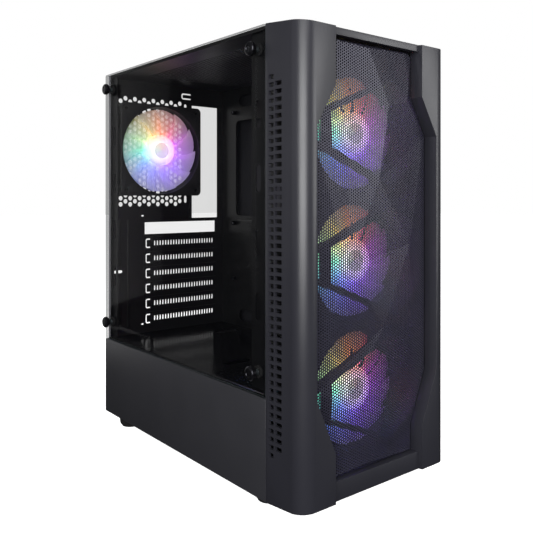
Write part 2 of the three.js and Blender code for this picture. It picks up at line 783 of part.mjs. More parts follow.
add("rear_panel", rearPanel(REAR_SEAM + GAP / 2, TOP), blackSteel());
add("rear_panel_lower", rearPanel(FLOOR_LOW, REAR_SEAM - GAP / 2), blackSteel());
add("motherboard_tray", motherboardTray(), blackSteel());
add("front_chassis_plate", frontChassisPlate(), blackSteel());
add("chassis_floor", chassisFloor(), blackSteel());
add("chassis_top", chassisTop(), blackSteel());
add("psu_shroud", psuShroud(), blackSteel());
for (let row = 1; row < SLOT_COUNT; row += 1) {
  add(`slot_cover_${row + 1}`, slotCover(row), blackSteel());
}
add("glass_side_panel", glassPanel(), smokedGlass());
add("shroud_side_cover", shroudSideCover(), blackSteel());
add("right_side_panel", rightSidePanel(), blackSteel());
Object.entries(GLASS_SCREWS).forEach(([place, [y, z]]) => {
  add(`glass_thumbscrew_${place}`, glassThumbscrew(y, z), blackScrew());
  add(`glass_standoff_${place}`, glassStandoff(y, z), blackRubber());
});
Object.entries(PANEL_SCREWS).forEach(([place, z]) => {
  add(`panel_thumbscrew_${place}`, panelThumbscrew(z), blackScrew());
});
add("front_bezel", frontBezel(), wingPlastic());
add("front_mesh", frontMesh(), blackSteel());
add("hex_support_frame", hexSupportFrame(), blackPlastic());
["top", "middle", "bottom"].forEach((place, i) => {
  const z = FRONT_FAN_Z[i];
  add(`front_fan_frame_${place}`, fanFrame(FRONT_FAN_X, z, FRONT_FAN_BACK), blackPlastic());
  add(`front_fan_rotor_${place}`, fanRotor(FRONT_FAN_X, z, FRONT_FAN_BACK), litPlastic());
});
add("rear_fan_frame", fanFrame(REAR_FAN.x, REAR_FAN.z, REAR_FAN.back), blackPlastic());
add("rear_fan_rotor", fanRotor(REAR_FAN.x, REAR_FAN.z, REAR_FAN.back), litPlastic());
add("top_dust_filter", topDustFilter(), blackPlastic());
add("io_module_housing", ioModuleHousing(), blackPlastic());
add("power_button", roundButton(TOP_BUTTON), blackPlastic());
add("reset_button", roundButton(RESET), blackPlastic());
Object.entries(USB_X).forEach(([name, x]) => add(name, usbPort(x), plainMetal()));
Object.entries(JACK_X).forEach(([name, x]) => add(name, audioJack(x), blackPlastic()));
add("foot_front_left", foot(30, -300), blackRubber());
add("foot_front_right", foot(WIDTH - 30, -300), blackRubber());
add("foot_rear_left", foot(23, -26), blackRubber());
add("foot_rear_right", foot(WIDTH - 23, -26), blackRubber());
add("psu_case", psuCase(), blackSteel());
add("psu_fan_rotor", psuFanRotor(), blackPlastic());
add("psu_inlet", psuInlet(), blackPlastic());
add("psu_switch", psuSwitch(), blackPlastic());
add("drive_cage", driveCage(), blackSteel());
add("drive_tray_upper", driveTray(1), blackPlastic());
add("drive_tray_lower", driveTray(0), blackPlastic());
add("psu_dust_filter", psuDustFilter(), blackPlastic());
add("fan_hub", fanHub(), blackPlastic());
add("ssd_bracket", ssdBracket(), blackSteel());

// Stand the tower on z = 0 with the middle of its outline over the origin.
const outline = new THREE.Box3().setFromObject(tower);
const centre = outline.getCenter(new THREE.Vector3());
tower.position.set(-centre.x, -centre.y, -outline.min.z);

const group = new THREE.Group();
group.add(tower);

export default group;
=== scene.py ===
"""The looks of a mid-tower computer case: glass side, folded mesh front and four lit fans.

Pieces are drawn in millimetres in the case's own drawing frame (x = 0 on the outside of the glass,
y = 0 on the outside of the rear panel, z = 0 on the floor, mesh front towards -Y) and are moved
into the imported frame, in metres, when they are finished.
"""

import logging
import math
from dataclasses import dataclass, field
from enum import Enum
from typing import Any, Iterable, Sequence

import bmesh
import bpy
from mathutils import Matrix, Vector


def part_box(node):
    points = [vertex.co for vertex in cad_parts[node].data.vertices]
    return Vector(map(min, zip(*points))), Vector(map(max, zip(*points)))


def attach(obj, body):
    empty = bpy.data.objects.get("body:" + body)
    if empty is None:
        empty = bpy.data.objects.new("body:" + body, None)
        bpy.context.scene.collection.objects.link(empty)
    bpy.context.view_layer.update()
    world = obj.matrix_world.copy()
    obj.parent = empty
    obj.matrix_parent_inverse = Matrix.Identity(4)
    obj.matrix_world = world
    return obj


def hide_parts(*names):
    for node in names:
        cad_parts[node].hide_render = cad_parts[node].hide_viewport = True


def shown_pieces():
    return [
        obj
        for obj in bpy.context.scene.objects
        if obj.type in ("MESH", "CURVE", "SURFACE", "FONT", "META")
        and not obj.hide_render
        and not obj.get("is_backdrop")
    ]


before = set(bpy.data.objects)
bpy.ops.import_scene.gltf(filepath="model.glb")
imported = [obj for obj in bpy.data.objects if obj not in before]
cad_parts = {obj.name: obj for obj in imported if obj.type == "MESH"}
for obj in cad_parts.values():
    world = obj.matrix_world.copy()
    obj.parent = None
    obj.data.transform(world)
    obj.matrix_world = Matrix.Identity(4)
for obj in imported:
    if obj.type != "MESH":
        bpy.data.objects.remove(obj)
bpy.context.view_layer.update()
MM = 0.001
WELD = 0.0005  # Points nearer to each other than this, in millimetres, are one.
ORIGIN = Vector((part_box("glass_side_panel")[0][0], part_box("rear_panel")[1][1], 0.0))
TO_FRAME = Matrix.Translation(ORIGIN) @ Matrix.Scale(MM, 4)
log = logging.getLogger("tower")

Point2 = tuple[float, float]
Loop = list[Point2]
Span = tuple[float, float]
Stops = Sequence[tuple[float, str]]


# ---- helpers --------------------------------------------------------------------------------


def add_node(tree: bpy.types.NodeTree, kind: str, inputs: dict[Any, Any] | None = None,
             **settings: Any) -> bpy.types.Node:
    """Add one node with its settings, and give each named input a value or a link.

    Args:
        tree: The node tree that takes the node.
        kind: The node's type name.
        inputs: Input name or number to a value, or to the output socket that feeds it.
        settings: The node's own properties.

    Returns:
        The new node.
    """
    node = tree.nodes.new(kind)
    for key, value in settings.items():
        setattr(node, key, value)
    for key, value in (inputs or {}).items():
        if isinstance(value, bpy.types.NodeSocket):
            tree.links.new(value, node.inputs[key])
        else:
            node.inputs[key].default_value = value
    return node


def linear(code: str, alpha: float = 1.0) -> tuple[float, float, float, float]:
    """Turn an sRGB hex code into a linear colour."""
    parts = [int(code[i:i + 2], 16) / 255 for i in (1, 3, 5)]
    low, knee = 12.92, 0.04045
    return (*(c / low if c <= knee else ((c + 0.055) / 1.055) ** 2.4 for c in parts), alpha)


def rect(x0: float, y0: float, x1: float, y1: float) -> Loop:
    """Return the corners of a rectangle, counter-clockwise."""
    return [(x0, y0), (x1, y0), (x1, y1), (x0, y1)]


def circle(x: float, y: float, r: float, sides: int = 32) -> Loop:
    """Return the corners of a regular polygon that stands for a circle."""
    turn = 2 * math.pi / sides
    return [(x + r * math.cos(i * turn), y + r * math.sin(i * turn)) for i in range(sides)]


def rounded(corners: Sequence[Point2], r: float, steps: int = 5) -> Loop:
    """Round every corner of a polygon with an arc.

    Args:
        corners: The polygon's corners, in order.
        r: Radius of the arcs.
        steps: Straight pieces in each arc.

    Returns:
        The rounded outline.
    """
    outline: Loop = []
    for i, corner in enumerate(corners):
        here = Vector(corner)
        before = (Vector(corners[i - 1]) - here).normalized()
        after = (Vector(corners[(i + 1) % len(corners)]) - here).normalized()
        half = before.angle(after) / 2
        if math.pi / 2 - half < 0.01:
            outline.append(corner)
            continue
        start = here + before * (r / math.tan(half))
        end = here + after * (r / math.tan(half))
        centre = here + (before + after).normalized() * (r / math.sin(half))
        for k in range(steps + 1):
            way = (start - centre).lerp(end - centre, k / steps).normalized()
            outline.append(tuple(centre + way * r))
    return outline


class Plane(Enum):
    """Where a flat drawing (u, v) with thickness w stands in the case."""

    FRONT = Matrix(((1, 0, 0, 0), (0, 0, -1, 0), (0, 1, 0, 0), (0, 0, 0, 1)))
    SIDE = Matrix(((0, 0, 1, 0), (1, 0, 0, 0), (0, 1, 0, 0), (0, 0, 0, 1)))
    ROOF = Matrix.Identity(4)

    def at(self, offset: float) -> Matrix:
        """Return the move that puts the drawing's w = 0 at this depth along its thickness."""
        return self.value @ Matrix.Translation((0, 0, offset))


def mesh_object(name: str, mesh: bpy.types.Mesh) -> bpy.types.Object:
    """Link a mesh to the scene as an object at the origin."""
    made = bpy.data.objects.new(name, mesh)
    bpy.context.scene.collection.objects.link(made)
    return made


def evaluated(work: bpy.types.Object) -> bpy.types.Mesh:
    """Turn an object with its modifiers into a plain mesh, and drop the object."""
    graph = bpy.context.evaluated_depsgraph_get()
    mesh = bpy.data.meshes.new_from_object(work.evaluated_get(graph), depsgraph=graph)
    bpy.data.objects.remove(work)
    return mesh


def edge_mesh(loops: Iterable[Sequence[Point2]]) -> bpy.types.Mesh:
    """Make a mesh of closed flat outlines, with edges and no faces.

    Args:
        loops: The outlines' corners, in millimetres.

    Returns:
        The mesh, at w = 0.
    """
    points: list[tuple[float, float, float]] = []
    edges: list[tuple[int, int]] = []
    for loop in loops:
        first = len(points)
        count = len(loop)
        points.extend((u, v, 0.0) for u, v in loop)
        edges.extend((first + i, first + (i + 1) % count) for i in range(count))
    mesh = bpy.data.meshes.new("outline")
    mesh.from_pydata(points, edges, [])
    return mesh


def block(x: Span, y: Span, z: Span, bevel: float = 0.0, steps: int = 2) -> bpy.types.Mesh:
    """Make a box between three pairs of limits, with rounded edges.

    Args:
        x: Lowest and highest x.
        y: Lowest and highest y.
        z: Lowest and highest z.
        bevel: Width of the rounded edges, 0 for sharp ones.
        steps: Pieces in each rounded edge.

    Returns:
        The box as a mesh.
    """
    made = bmesh.new()
    centre = Vector([(a + b) / 2 for a, b in (x, y, z)])
    size = Matrix.Diagonal([b - a for a, b in (x, y, z)] + [1])
    bmesh.ops.create_cube(made, size=1.0, matrix=Matrix.Translation(centre) @ size)
    if bevel:
        bmesh.ops.bevel(made, geom=made.edges[:], offset=bevel, segments=steps, profile=0.5,
                        affect="EDGES")
    return plain(made)


def plain(made: bmesh.types.BMesh) -> bpy.types.Mesh:
    """Write a bmesh out as a mesh and free it."""
    mesh = bpy.data.meshes.new("part")
    made.to_mesh(mesh)
    made.free()
    return mesh


def lathe(profile: Sequence[Point2], sides: int = 32) -> bpy.types.Mesh:
    """Turn a profile of (radius, height) points about the Z axis.

    Args:
        profile: Points from the lower end of the axis to the upper end, going outwards first.
        sides: Pieces in the full turn.

    Returns:
        A closed mesh.
    """
    made = bmesh.new()
    rings = []
    for r, h in profile:
        if r < 1e-6:
            rings.append([made.verts.new((0, 0, h))])
            continue
        rings.append([made.verts.new((x, y, h)) for x, y in circle(0, 0, r, sides)])
    for low, high in zip(rings, rings[1:]):
        for i in range(sides):
            j = (i + 1) % sides
            ways = ((low, i), (low, j), (high, j), (high, i))
            made.faces.new(list(dict.fromkeys(ring[k % len(ring)] for ring, k in ways)))
    return plain(made)


def lofted(rings: Sequence[Sequence[Vector]], closed: bool = False) -> bpy.types.Mesh:
    """Stretch a skin over rings of points.

    Args:
        rings: Rings with the same number of points, in order.
        closed: Whether the last ring meets the first; if not, both ends get a cap.

    Returns:
        A closed mesh.
    """
    made = bmesh.new()
    points = [[made.verts.new(point) for point in ring] for ring in rings]
    for low, high in zip(points, points[1:] + points[:closed]):
        for i in range(len(low)):
            j = (i + 1) % len(low)
            made.faces.new((low[i], low[j], high[j], high[i]))
    if not closed:
        made.faces.new(points[0][::-1])
        made.faces.new(points[-1])
    bmesh.ops.recalc_face_normals(made, faces=made.faces[:])
    return plain(made)


def joined(meshes: Iterable[bpy.types.Mesh], place: Matrix = Matrix.Identity(4)) -> bpy.types.Mesh:
    """Join meshes into one and move it."""
    made = bmesh.new()
    for mesh in meshes:
        made.from_mesh(mesh)
    made.transform(place)
    return plain(made)


def moved(mesh: bpy.types.Mesh, place: Matrix) -> bpy.types.Mesh:
    """Return a copy of a mesh, moved."""
    return joined([mesh], place)


def combined(base: bpy.types.Mesh, tools: Iterable[bpy.types.Mesh],
             operation: str = "DIFFERENCE") -> bpy.types.Mesh:
    """Cut, keep or add solids with exact booleans.

    Args:
        base: The solid that is worked on.
        tools: The solids that are used on it, one after another.
        operation: DIFFERENCE, INTERSECT or UNION.

    Returns:
        The resulting mesh.
    """
    work = mesh_object("work", base)
    helpers = []
    for tool in tools:
        helper = mesh_object("tool", tool)
        cut = work.modifiers.new("cut", "BOOLEAN")
        cut.operation = operation
        cut.solver = "EXACT"
        cut.object = helper
        helpers.append(helper)
    mesh = evaluated(work)
    for helper in helpers:
        bpy.data.objects.remove(helper)
    return mesh


def softened(mesh: bpy.types.Mesh, width: float, steps: int = 2,
             angle: float = 40) -> bpy.types.Mesh:
    """Round the sharp edges of a mesh.

    Args:
        mesh: The mesh.
        width: Width of the rounded edges.
        steps: Pieces in each rounded edge.
        angle: Edges sharper than this, in degrees, are rounded.

    Returns:
        The softened mesh.
    """
    work = mesh_object("work", mesh)
    bevel = work.modifiers.new("edges", "BEVEL")
    bevel.width = width
    bevel.segments = steps
    bevel.limit_method = "ANGLE"
    bevel.angle_limit = math.radians(angle)
    return evaluated(work)


# ---- geometry node recipes ------------------------------------------------------------------


class Socket(Enum):
    """Kinds of input that a recipe takes."""

    NUMBER = "NodeSocketFloat"
    COUNT = "NodeSocketInt"
    PLACE = "NodeSocketVector"
    OBJECT = "NodeSocketObject"
    MATERIAL = "NodeSocketMaterial"


class Recipe:
    """A geometry node tree with named inputs, built once and used on many pieces."""

    def __init__(self, name: str, inputs: dict[str, Socket]) -> None:
        """Open an empty tree.

        Args:
            name: The tree's name.
            inputs: Each input's name and kind, apart from the material that every tree takes.
        """
        self.tree = bpy.data.node_groups.new(name, "GeometryNodeTree")
        face = self.tree.interface
        shape = "NodeSocketGeometry"
        face.new_socket("Geometry", in_out="INPUT", socket_type=shape)
        for label, kind in {**inputs, "Material": Socket.MATERIAL}.items():
            face.new_socket(label, in_out="INPUT", socket_type=kind.value)
        face.new_socket("Geometry", in_out="OUTPUT", socket_type=shape)
        self.given = self.add("NodeGroupInput").outputs

    def add(self, kind: str, inputs: dict[Any, Any] | None = None,
            **settings: Any) -> bpy.types.Node:
        """Add a node to this tree."""
        return add_node(self.tree, kind, inputs, **settings)

    def sum(self, operation: str, *terms: Any) -> bpy.types.NodeSocket:
        """Return the result of one arithmetic step on numbers or sockets."""
        return self.add("ShaderNodeMath", dict(enumerate(terms)), operation=operation).outputs[0]

    def close(self, geometry: bpy.types.NodeSocket) -> None:
        """Make this geometry's instances real, give it the tree's material and send it out."""
        real = self.add("GeometryNodeRealizeInstances", {0: geometry})
        coated = self.add("GeometryNodeSetMaterial", {
            0: real.outputs[0], "Material": self.given["Material"]})
        self.add("NodeGroupOutput", {0: coated.outputs[0]})

    def use(self, work: bpy.types.Object, **values: Any) -> None:
        """Put the recipe on an object.

        Args:
            work: The object.
            values: The inputs' values, with spaces in their names written as underscores.
        """
        modifier = work.modifiers.new(self.tree.name, "NODES")
        modifier.node_group = self.tree
        for item in self.tree.interface.items_tree:
            key = item.name.replace(" ", "_")
            if item.in_out == "INPUT" and key in values:
                modifier[item.identifier] = values.pop(key)
        if values:
            raise KeyError(f"{self.tree.name} has no input {sorted(values)}")


def hole_recipe() -> Recipe:
    """Build the recipe that adds a field of round or long holes to a flat outline."""
    names = ("Centre U", "Centre V", "Width", "Height", "Pitch U", "Pitch V", "Stagger",
             "Hole U", "Hole V", "Round")
    recipe = Recipe("hole_field", {**dict.fromkeys(names, Socket.NUMBER), "Sides": Socket.COUNT,
                                   "Limited": Socket.NUMBER, "Keep In": Socket.OBJECT})
    get, add, sums = recipe.given, recipe.add, recipe.sum
    lines = []
    for size, pitch in (("Width", "Pitch U"), ("Height", "Pitch V")):
        steps = sums("FLOOR", sums("ADD", sums("DIVIDE", get[size], get[pitch]), 0.001))
        lines.append((steps, sums("ADD", steps, 1.0), sums("MULTIPLY", steps, get[pitch])))
    grid = add("GeometryNodeMeshGrid", {"Vertices X": lines[0][1], "Vertices Y": lines[1][1],
                                        "Size X": lines[0][2], "Size Y": lines[1][2]})
    at = add("ShaderNodeSeparateXYZ", {0: add("GeometryNodeInputPosition").outputs[0]}).outputs
    column = sums("ADD", sums("DIVIDE", at[0], get["Pitch U"]), sums("DIVIDE", lines[0][0], 2.0))
    odd = sums("MODULO", sums("ROUND", column), 2.0)
    lag = sums("MULTIPLY", get["Stagger"], get["Pitch V"])
    shift = sums("MULTIPLY", sums("SUBTRACT", odd, 0.5), lag)
    far_u = sums("DIVIDE", at[0], get["Width"])
    far_v = sums("DIVIDE", sums("ADD", at[1], shift), get["Height"])
    squares = sums("ADD", sums("MULTIPLY", far_u, far_u), sums("MULTIPLY", far_v, far_v))
    outside = sums("GREATER_THAN", sums("MULTIPLY", squares, get["Round"]), 0.25)
    spot_u = sums("ADD", at[0], get["Centre U"])
    spot_v = sums("ADD", at[1], sums("ADD", get["Centre V"], shift))
    spot = add("ShaderNodeCombineXYZ", {0: spot_u, 1: spot_v})
    above = add("ShaderNodeCombineXYZ", {0: spot_u, 1: spot_v, 2: 5.0})
    limit = add("GeometryNodeObjectInfo", {0: get["Keep In"]}, transform_space="ORIGINAL")
    seen = add("GeometryNodeRaycast", {
        "Target Geometry": limit.outputs["Geometry"], "Source Position": above.outputs[0],
        "Ray Direction": (0.0, 0.0, -1.0), "Ray Length": 50.0})
    missed = sums("MULTIPLY", sums("SUBTRACT", 1.0, seen.outputs["Is Hit"]), get["Limited"])
    gone = sums("MAXIMUM", outside, missed)
    kept = add("GeometryNodeStoreNamedAttribute", {
        0: grid.outputs[0], "Name": "gone", "Value": gone}, data_type="FLOAT", domain="POINT")
    spots = add("GeometryNodeSetPosition", {0: kept.outputs[0], "Position": spot.outputs[0]})
    mark = add("GeometryNodeInputNamedAttribute", {"Name": "gone"}, data_type="FLOAT")
    spots = add("GeometryNodeDeleteGeometry", {0: spots.outputs[0], 1: mark.outputs[0]},
                domain="POINT")
    ring = add("GeometryNodeCurvePrimitiveCircle", {"Resolution": get["Sides"], "Radius": 0.5})
    narrow = sums("MINIMUM", get["Hole U"], get["Hole V"])
    stretched = []
    for axis, length in ((0, "Hole U"), (1, "Hole V")):
        run = sums("MULTIPLY", sums("SUBTRACT", get[length], narrow), 0.5)
        ends = sums("MULTIPLY", sums("SIGN", at[axis]), run)
        stretched.append(sums("ADD", sums("MULTIPLY", at[axis], narrow), ends))
    outline = add("ShaderNodeCombineXYZ", {0: stretched[0], 1: stretched[1]})
    ring = add("GeometryNodeSetPosition", {0: ring.outputs[0], "Position": outline.outputs[0]})
    copies = add("GeometryNodeInstanceOnPoints", {"Points": spots.outputs[0],
                                                  "Instance": ring.outputs[0]})
    edges = add("GeometryNodeCurveToMesh", {0: add("GeometryNodeRealizeInstances",
                                                   {0: copies.outputs[0]}).outputs[0]})
    both = add("GeometryNodeJoinGeometry", {0: get["Geometry"]})
    recipe.tree.links.new(edges.outputs[0], both.inputs[0])
    recipe.close(both.outputs[0])
    return recipe


def sheet_recipe() -> Recipe:
    """Build the recipe that fills flat outlines, holes left open, and gives them a thickness.

    A large sheet comes as outlines side by side, each filled on its own, which is far quicker.
    """
    recipe = Recipe("sheet", {"Thickness": Socket.NUMBER, "Strip Start": Socket.NUMBER,
                              "Strip Width": Socket.NUMBER})
    get, add, sums = recipe.given, recipe.add, recipe.sum
    at = add("ShaderNodeSeparateXYZ", {0: add("GeometryNodeInputPosition").outputs[0]}).outputs
    along = sums("SUBTRACT", at[0], get["Strip Start"])
    strip = sums("FLOOR", sums("DIVIDE", along, get["Strip Width"]))
    curves = add("GeometryNodeMeshToCurve", {0: get["Geometry"]})
    face = add("GeometryNodeFillCurve", {"Curve": curves.outputs[0], "Group ID": strip})
    face = add("GeometryNodeMergeByDistance", {0: face.outputs[0], "Distance": WELD})
    upper = add("GeometryNodeExtrudeMesh", {0: face.outputs[0], "Offset": (0.0, 0.0, 1.0),
                                            "Offset Scale": get["Thickness"], "Individual": False})
    lower = add("GeometryNodeFlipFaces", {0: face.outputs[0]})
    both = add("GeometryNodeJoinGeometry", {0: upper.outputs[0]})
    recipe.tree.links.new(lower.outputs[0], both.inputs[0])
    whole = add("GeometryNodeMergeByDistance", {0: both.outputs[0], "Distance": WELD})
    recipe.close(whole.outputs[0])
    return recipe


def drape_recipe() -> Recipe:
    """Build the recipe that lays a flat sheet, drawn at w = 0 and below, onto a folded guide."""
    recipe = Recipe("drape", {"Guide": Socket.OBJECT})
    get, add = recipe.given, recipe.add
    guide = add("GeometryNodeObjectInfo", {0: get["Guide"]}, transform_space="ORIGINAL")
    here = add("ShaderNodeSeparateXYZ", {0: add("GeometryNodeInputPosition").outputs[0]})
    above = add("ShaderNodeCombineXYZ", {0: here.outputs[0], 1: here.outputs[1], 2: 900.0})
    found = add("GeometryNodeRaycast", {
        "Target Geometry": guide.outputs["Geometry"], "Source Position": above.outputs[0],
        "Ray Direction": (0.0, 0.0, -1.0), "Ray Length": 2000.0})
    height = add("ShaderNodeSeparateXYZ", {0: found.outputs["Hit Position"]}).outputs[2]
    lift = add("ShaderNodeCombineXYZ", {2: height})
    laid = add("GeometryNodeSetPosition", {0: get["Geometry"], "Offset": lift.outputs[0],
                                           "Selection": found.outputs["Is Hit"]})
    recipe.close(laid.outputs[0])
    return recipe


def copies_recipe() -> Recipe:
    """Build the recipe that repeats a part: on every point given, in a row, or round the Z axis."""
    recipe = Recipe("copies", {"Part": Socket.OBJECT, "Count": Socket.COUNT, "Step": Socket.PLACE,
                               "Turn": Socket.NUMBER})
    get, add = recipe.given, recipe.add
    part = add("GeometryNodeObjectInfo", {0: get["Part"]}, transform_space="ORIGINAL")
    steps = add("GeometryNodeDuplicateElements", {0: get["Geometry"], "Amount": get["Count"]},
                domain="POINT")
    number = steps.outputs["Duplicate Index"]
    away = add("ShaderNodeVectorMath", {0: get["Step"], "Scale": number}, operation="SCALE")
    placed = add("GeometryNodeSetPosition", {0: steps.outputs[0], "Offset": away.outputs[0]})
    angle = add("ShaderNodeCombineXYZ", {2: recipe.sum("MULTIPLY", number, get["Turn"])})
    turned = add("FunctionNodeEulerToRotation", {0: angle.outputs[0]})
    made = add("GeometryNodeInstanceOnPoints", {
        "Points": placed.outputs[0], "Instance": part.outputs["Geometry"],
        "Rotation": turned.outputs[0]})
    recipe.close(made.outputs[0])
    return recipe


HOLES = hole_recipe()
SHEET = sheet_recipe()
DRAPE = drape_recipe()
COPIES = copies_recipe()


@dataclass(frozen=True)
class Holes:
    """A field of repeated holes in a plate, in millimetres.

    The first and third columns sit half a stagger lower than the second and fourth.
    """

    centre: Point2
    size: Point2
    pitch: Point2
    hole: Point2
    stagger: float = 0.5
    oval: bool = False
    sides: int = 6

    def cut(self, work: bpy.types.Object, keep: bpy.types.Object | None = None) -> None:
        """Add these holes to a flat outline.

        Args:
            work: The outline.
            keep: A flat shape that the holes' centres have to lie on.
        """
        limits = {"Keep_In": keep, "Limited": 1.0} if keep else {}
        HOLES.use(work, Centre_U=self.centre[0], Centre_V=self.centre[1], Width=self.size[0],
                  Height=self.size[1], Pitch_U=self.pitch[0], Pitch_V=self.pitch[1],
                  Stagger=self.stagger, Hole_U=self.hole[0], Hole_V=self.hole[1],
                  Round=float(self.oval), Sides=self.sides, **limits)


def plate(outlines: Sequence[Sequence[Point2]], thickness: float, fields: Sequence[Holes] = (),
          place: Matrix = Matrix.Identity(4), strips: Span = (-1e4, 1e5)) -> bpy.types.Mesh:
    """Make a flat plate with cut-outs and perforations, and stand it in the case.

    Args:
        outlines: The plate's edges and its cut-outs, as closed outlines.
        thickness: How thick it is, upwards from w = 0.
        fields: Fields of repeated holes.
        place: Where the drawing stands in the case.
        strips: Start and width of the strips that a large sheet is drawn in.

    Returns:
        The plate as a mesh.
    """
    work = mesh_object("plate", edge_mesh(outlines))
    for holes in fields:
        holes.cut(work)
    SHEET.use(work, Thickness=thickness, Strip_Start=strips[0], Strip_Width=strips[1])
    mesh = evaluated(work)
    mesh.transform(place)
    if place.determinant() < 0:
        mesh.flip_normals()
    return mesh


def repeated(part: bpy.types.Mesh, points: Sequence[Sequence[float]], count: int = 1,
             step: Sequence[float] = (0, 0, 0), turn: float = 0.0) -> bpy.types.Mesh:
    """Repeat a part on points, and from each of them in a row or round the Z axis.

    Args:
        part: The part's mesh, drawn about the origin.
        points: Where the part goes.
        count: How many times it is repeated from each point.
        step: The move from one repeat to the next.
        turn: The turn from one repeat to the next, in degrees.

    Returns:
        All the copies as one mesh.
    """
    spots = bpy.data.meshes.new("spots")
    spots.from_pydata([tuple(p) for p in points], [], [])
    work = mesh_object("copies", spots)
    source = mesh_object("source", part)
    COPIES.use(work, Part=source, Count=count, Step=tuple(float(s) for s in step),
               Turn=math.radians(turn))
    mesh = evaluated(work)
    bpy.data.objects.remove(source)
    return mesh


def inset(outline: Sequence[Point2], by: float) -> Loop:
    """Move every side of an outline inwards by the same distance.

    Args:
        outline: A convex outline, counter-clockwise.
        by: The distance; below 0, the sides move outwards.

    Returns:
        The new corners.
    """
    sides = []
    for i, (x0, y0) in enumerate(outline):
        x1, y1 = outline[(i + 1) % len(outline)]
        length = math.hypot(x1 - x0, y1 - y0)
        a, b = (y0 - y1) / length, (x1 - x0) / length
        sides.append((a, b, a * x0 + b * y0 + by))
    corners: Loop = []
    for i, (a, b, c) in enumerate(sides):
        d, e, f = sides[i - 1]
        det = a * e - b * d
        corners.append(((c * e - b * f) / det, (a * f - c * d) / det))
    return corners


def between(outline: Sequence[Point2], low: float, high: float) -> Loop:
    """Cut the part out of an outline that lies between two upright lines.

    Args:
        outline: A convex outline.
        low: Where the left line stands.
        high: Where the right line stands.

    Returns:
        The part's corners, or none when the outline lies outside.
    """
    kept = list(outline)
    for limit, sign in ((low, 1.0), (high, -1.0)):
        clipped: Loop = []
        for i, (u1, v1) in enumerate(kept):
            u0, v0 = kept[i - 1]
            if (u0 - limit) * (u1 - limit) < 0:
                clipped.append((limit, v0 + (v1 - v0) * (limit - u0) / (u1 - u0)))
            if (u1 - limit) * sign >= 0:
                clipped.append((u1, v1))
        kept = clipped
    return kept


def stepped(outline: Sequence[Point2], step: float) -> Loop:
    """Add points to an outline at even levels, so that a long side can follow a folded guide.

    Args:
        outline: The outline.
        step: The height between levels.

    Returns:
        The same outline with more points.
    """
    kept: Loop = []
    for i, (u0, v0) in enumerate(outline):
        u1, v1 = outline[(i + 1) % len(outline)]
        kept.append((u0, v0))
        first, last = math.ceil(min(v0, v1) / step), int(max(v0, v1) / step)
        levels = [k * step for k in range(first, last + 1)]
        levels = [v for v in levels if min(abs(v - v0), abs(v - v1)) > 0.2]
        for v in levels if v1 > v0 else levels[::-1]:
            kept.append((u0 + (u1 - u0) * (v - v0) / (v1 - v0), v))
    return kept


def obround(x: float, y: float, length_x: float, length_y: float, steps: int = 6) -> Loop:
    """Return a slot with round ends about a centre."""
    corners = rect(x - length_x / 2, y - length_y / 2, x + length_x / 2, y + length_y / 2)
    return rounded(corners, min(length_x, length_y) / 2 - 0.01, steps)


def pressed(steps: Sequence[tuple[Sequence[Point2], float]], thickness: float,
            place: Matrix) -> bpy.types.Mesh:
    """Make a pressed sheet whose surface steps up or down from one outline to the next.

    Args:
        steps: Outlines with the same number of points, from the rim inwards, each with its height.
        thickness: How thick the sheet is, downwards.
        place: Where the drawing stands in the case.

    Returns:
        The sheet as a closed mesh.
    """
    rings = [[Vector((u, v, height)) for u, v in loop] for loop, height in steps]
    under = [[point - Vector((0, 0, thickness)) for point in ring] for ring in rings]
    return moved(lofted(rings[::-1] + under), place)


def node_copy(name: str, width: float = 0.0, steps: int = 2, angle: float = 35) -> bpy.types.Mesh:
    """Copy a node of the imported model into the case's drawing frame, with its edges rounded.

    Args:
        name: The node.
        width: Width of the rounded edges, 0 to leave them sharp.
        steps: Pieces in each rounded edge.
        angle: Edges sharper than this, in degrees, are rounded.

    Returns:
        The copy as a mesh.
    """
    made = bmesh.new()
    made.from_mesh(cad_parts[name].data)
    made.transform(TO_FRAME.inverted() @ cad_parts[name].matrix_world)
    bmesh.ops.remove_doubles(made, verts=made.verts[:], dist=0.002)
    bmesh.ops.dissolve_limit(made, angle_limit=math.radians(1), verts=made.verts[:],
                             edges=made.edges[:])
    mesh = plain(made)
    return softened(mesh, width, steps, angle) if width else mesh


def publish(name: str, mesh: bpy.types.Mesh, body: str, slot: str, finish: "Finish", *replaced: str,
            second: "Finish | None" = None, smooth: float = 32) -> bpy.types.Object:
    """Args:
        name: The piece's name.
        mesh: Its mesh, in the case's drawing frame.
        body: The body that it rides on.
        slot: The material slot meant for it; not used.
        finish: Its material.
        replaced: The nodes that it stands for.
        second: The finish of the faces with material number 1.
        smooth: Edges sharper than this, in degrees, stay sharp; 0 keeps every face flat.

    Returns:
        The piece.
    """
    mesh.transform(TO_FRAME)
    numbers = [face.material_index for face in mesh.polygons]
    mesh.materials.clear()
    mesh.materials.append(finish.material())
    if second:
        mesh.materials.append(second.material())
        mesh.polygons.foreach_set("material_index", numbers)
    mesh.polygons.foreach_set("use_smooth", [smooth > 0] * len(mesh.polygons))
    if smooth:
        mesh.set_sharp_from_angle(angle=math.radians(smooth))
    mesh.name = name
    piece = mesh_object(name, mesh)
    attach(piece, body)
    if replaced:
        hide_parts(*replaced)
    log.info("%s: %d faces on %s", name, len(mesh.polygons), body)
    return piece


# ---- finishes -------------------------------------------------------------------------------


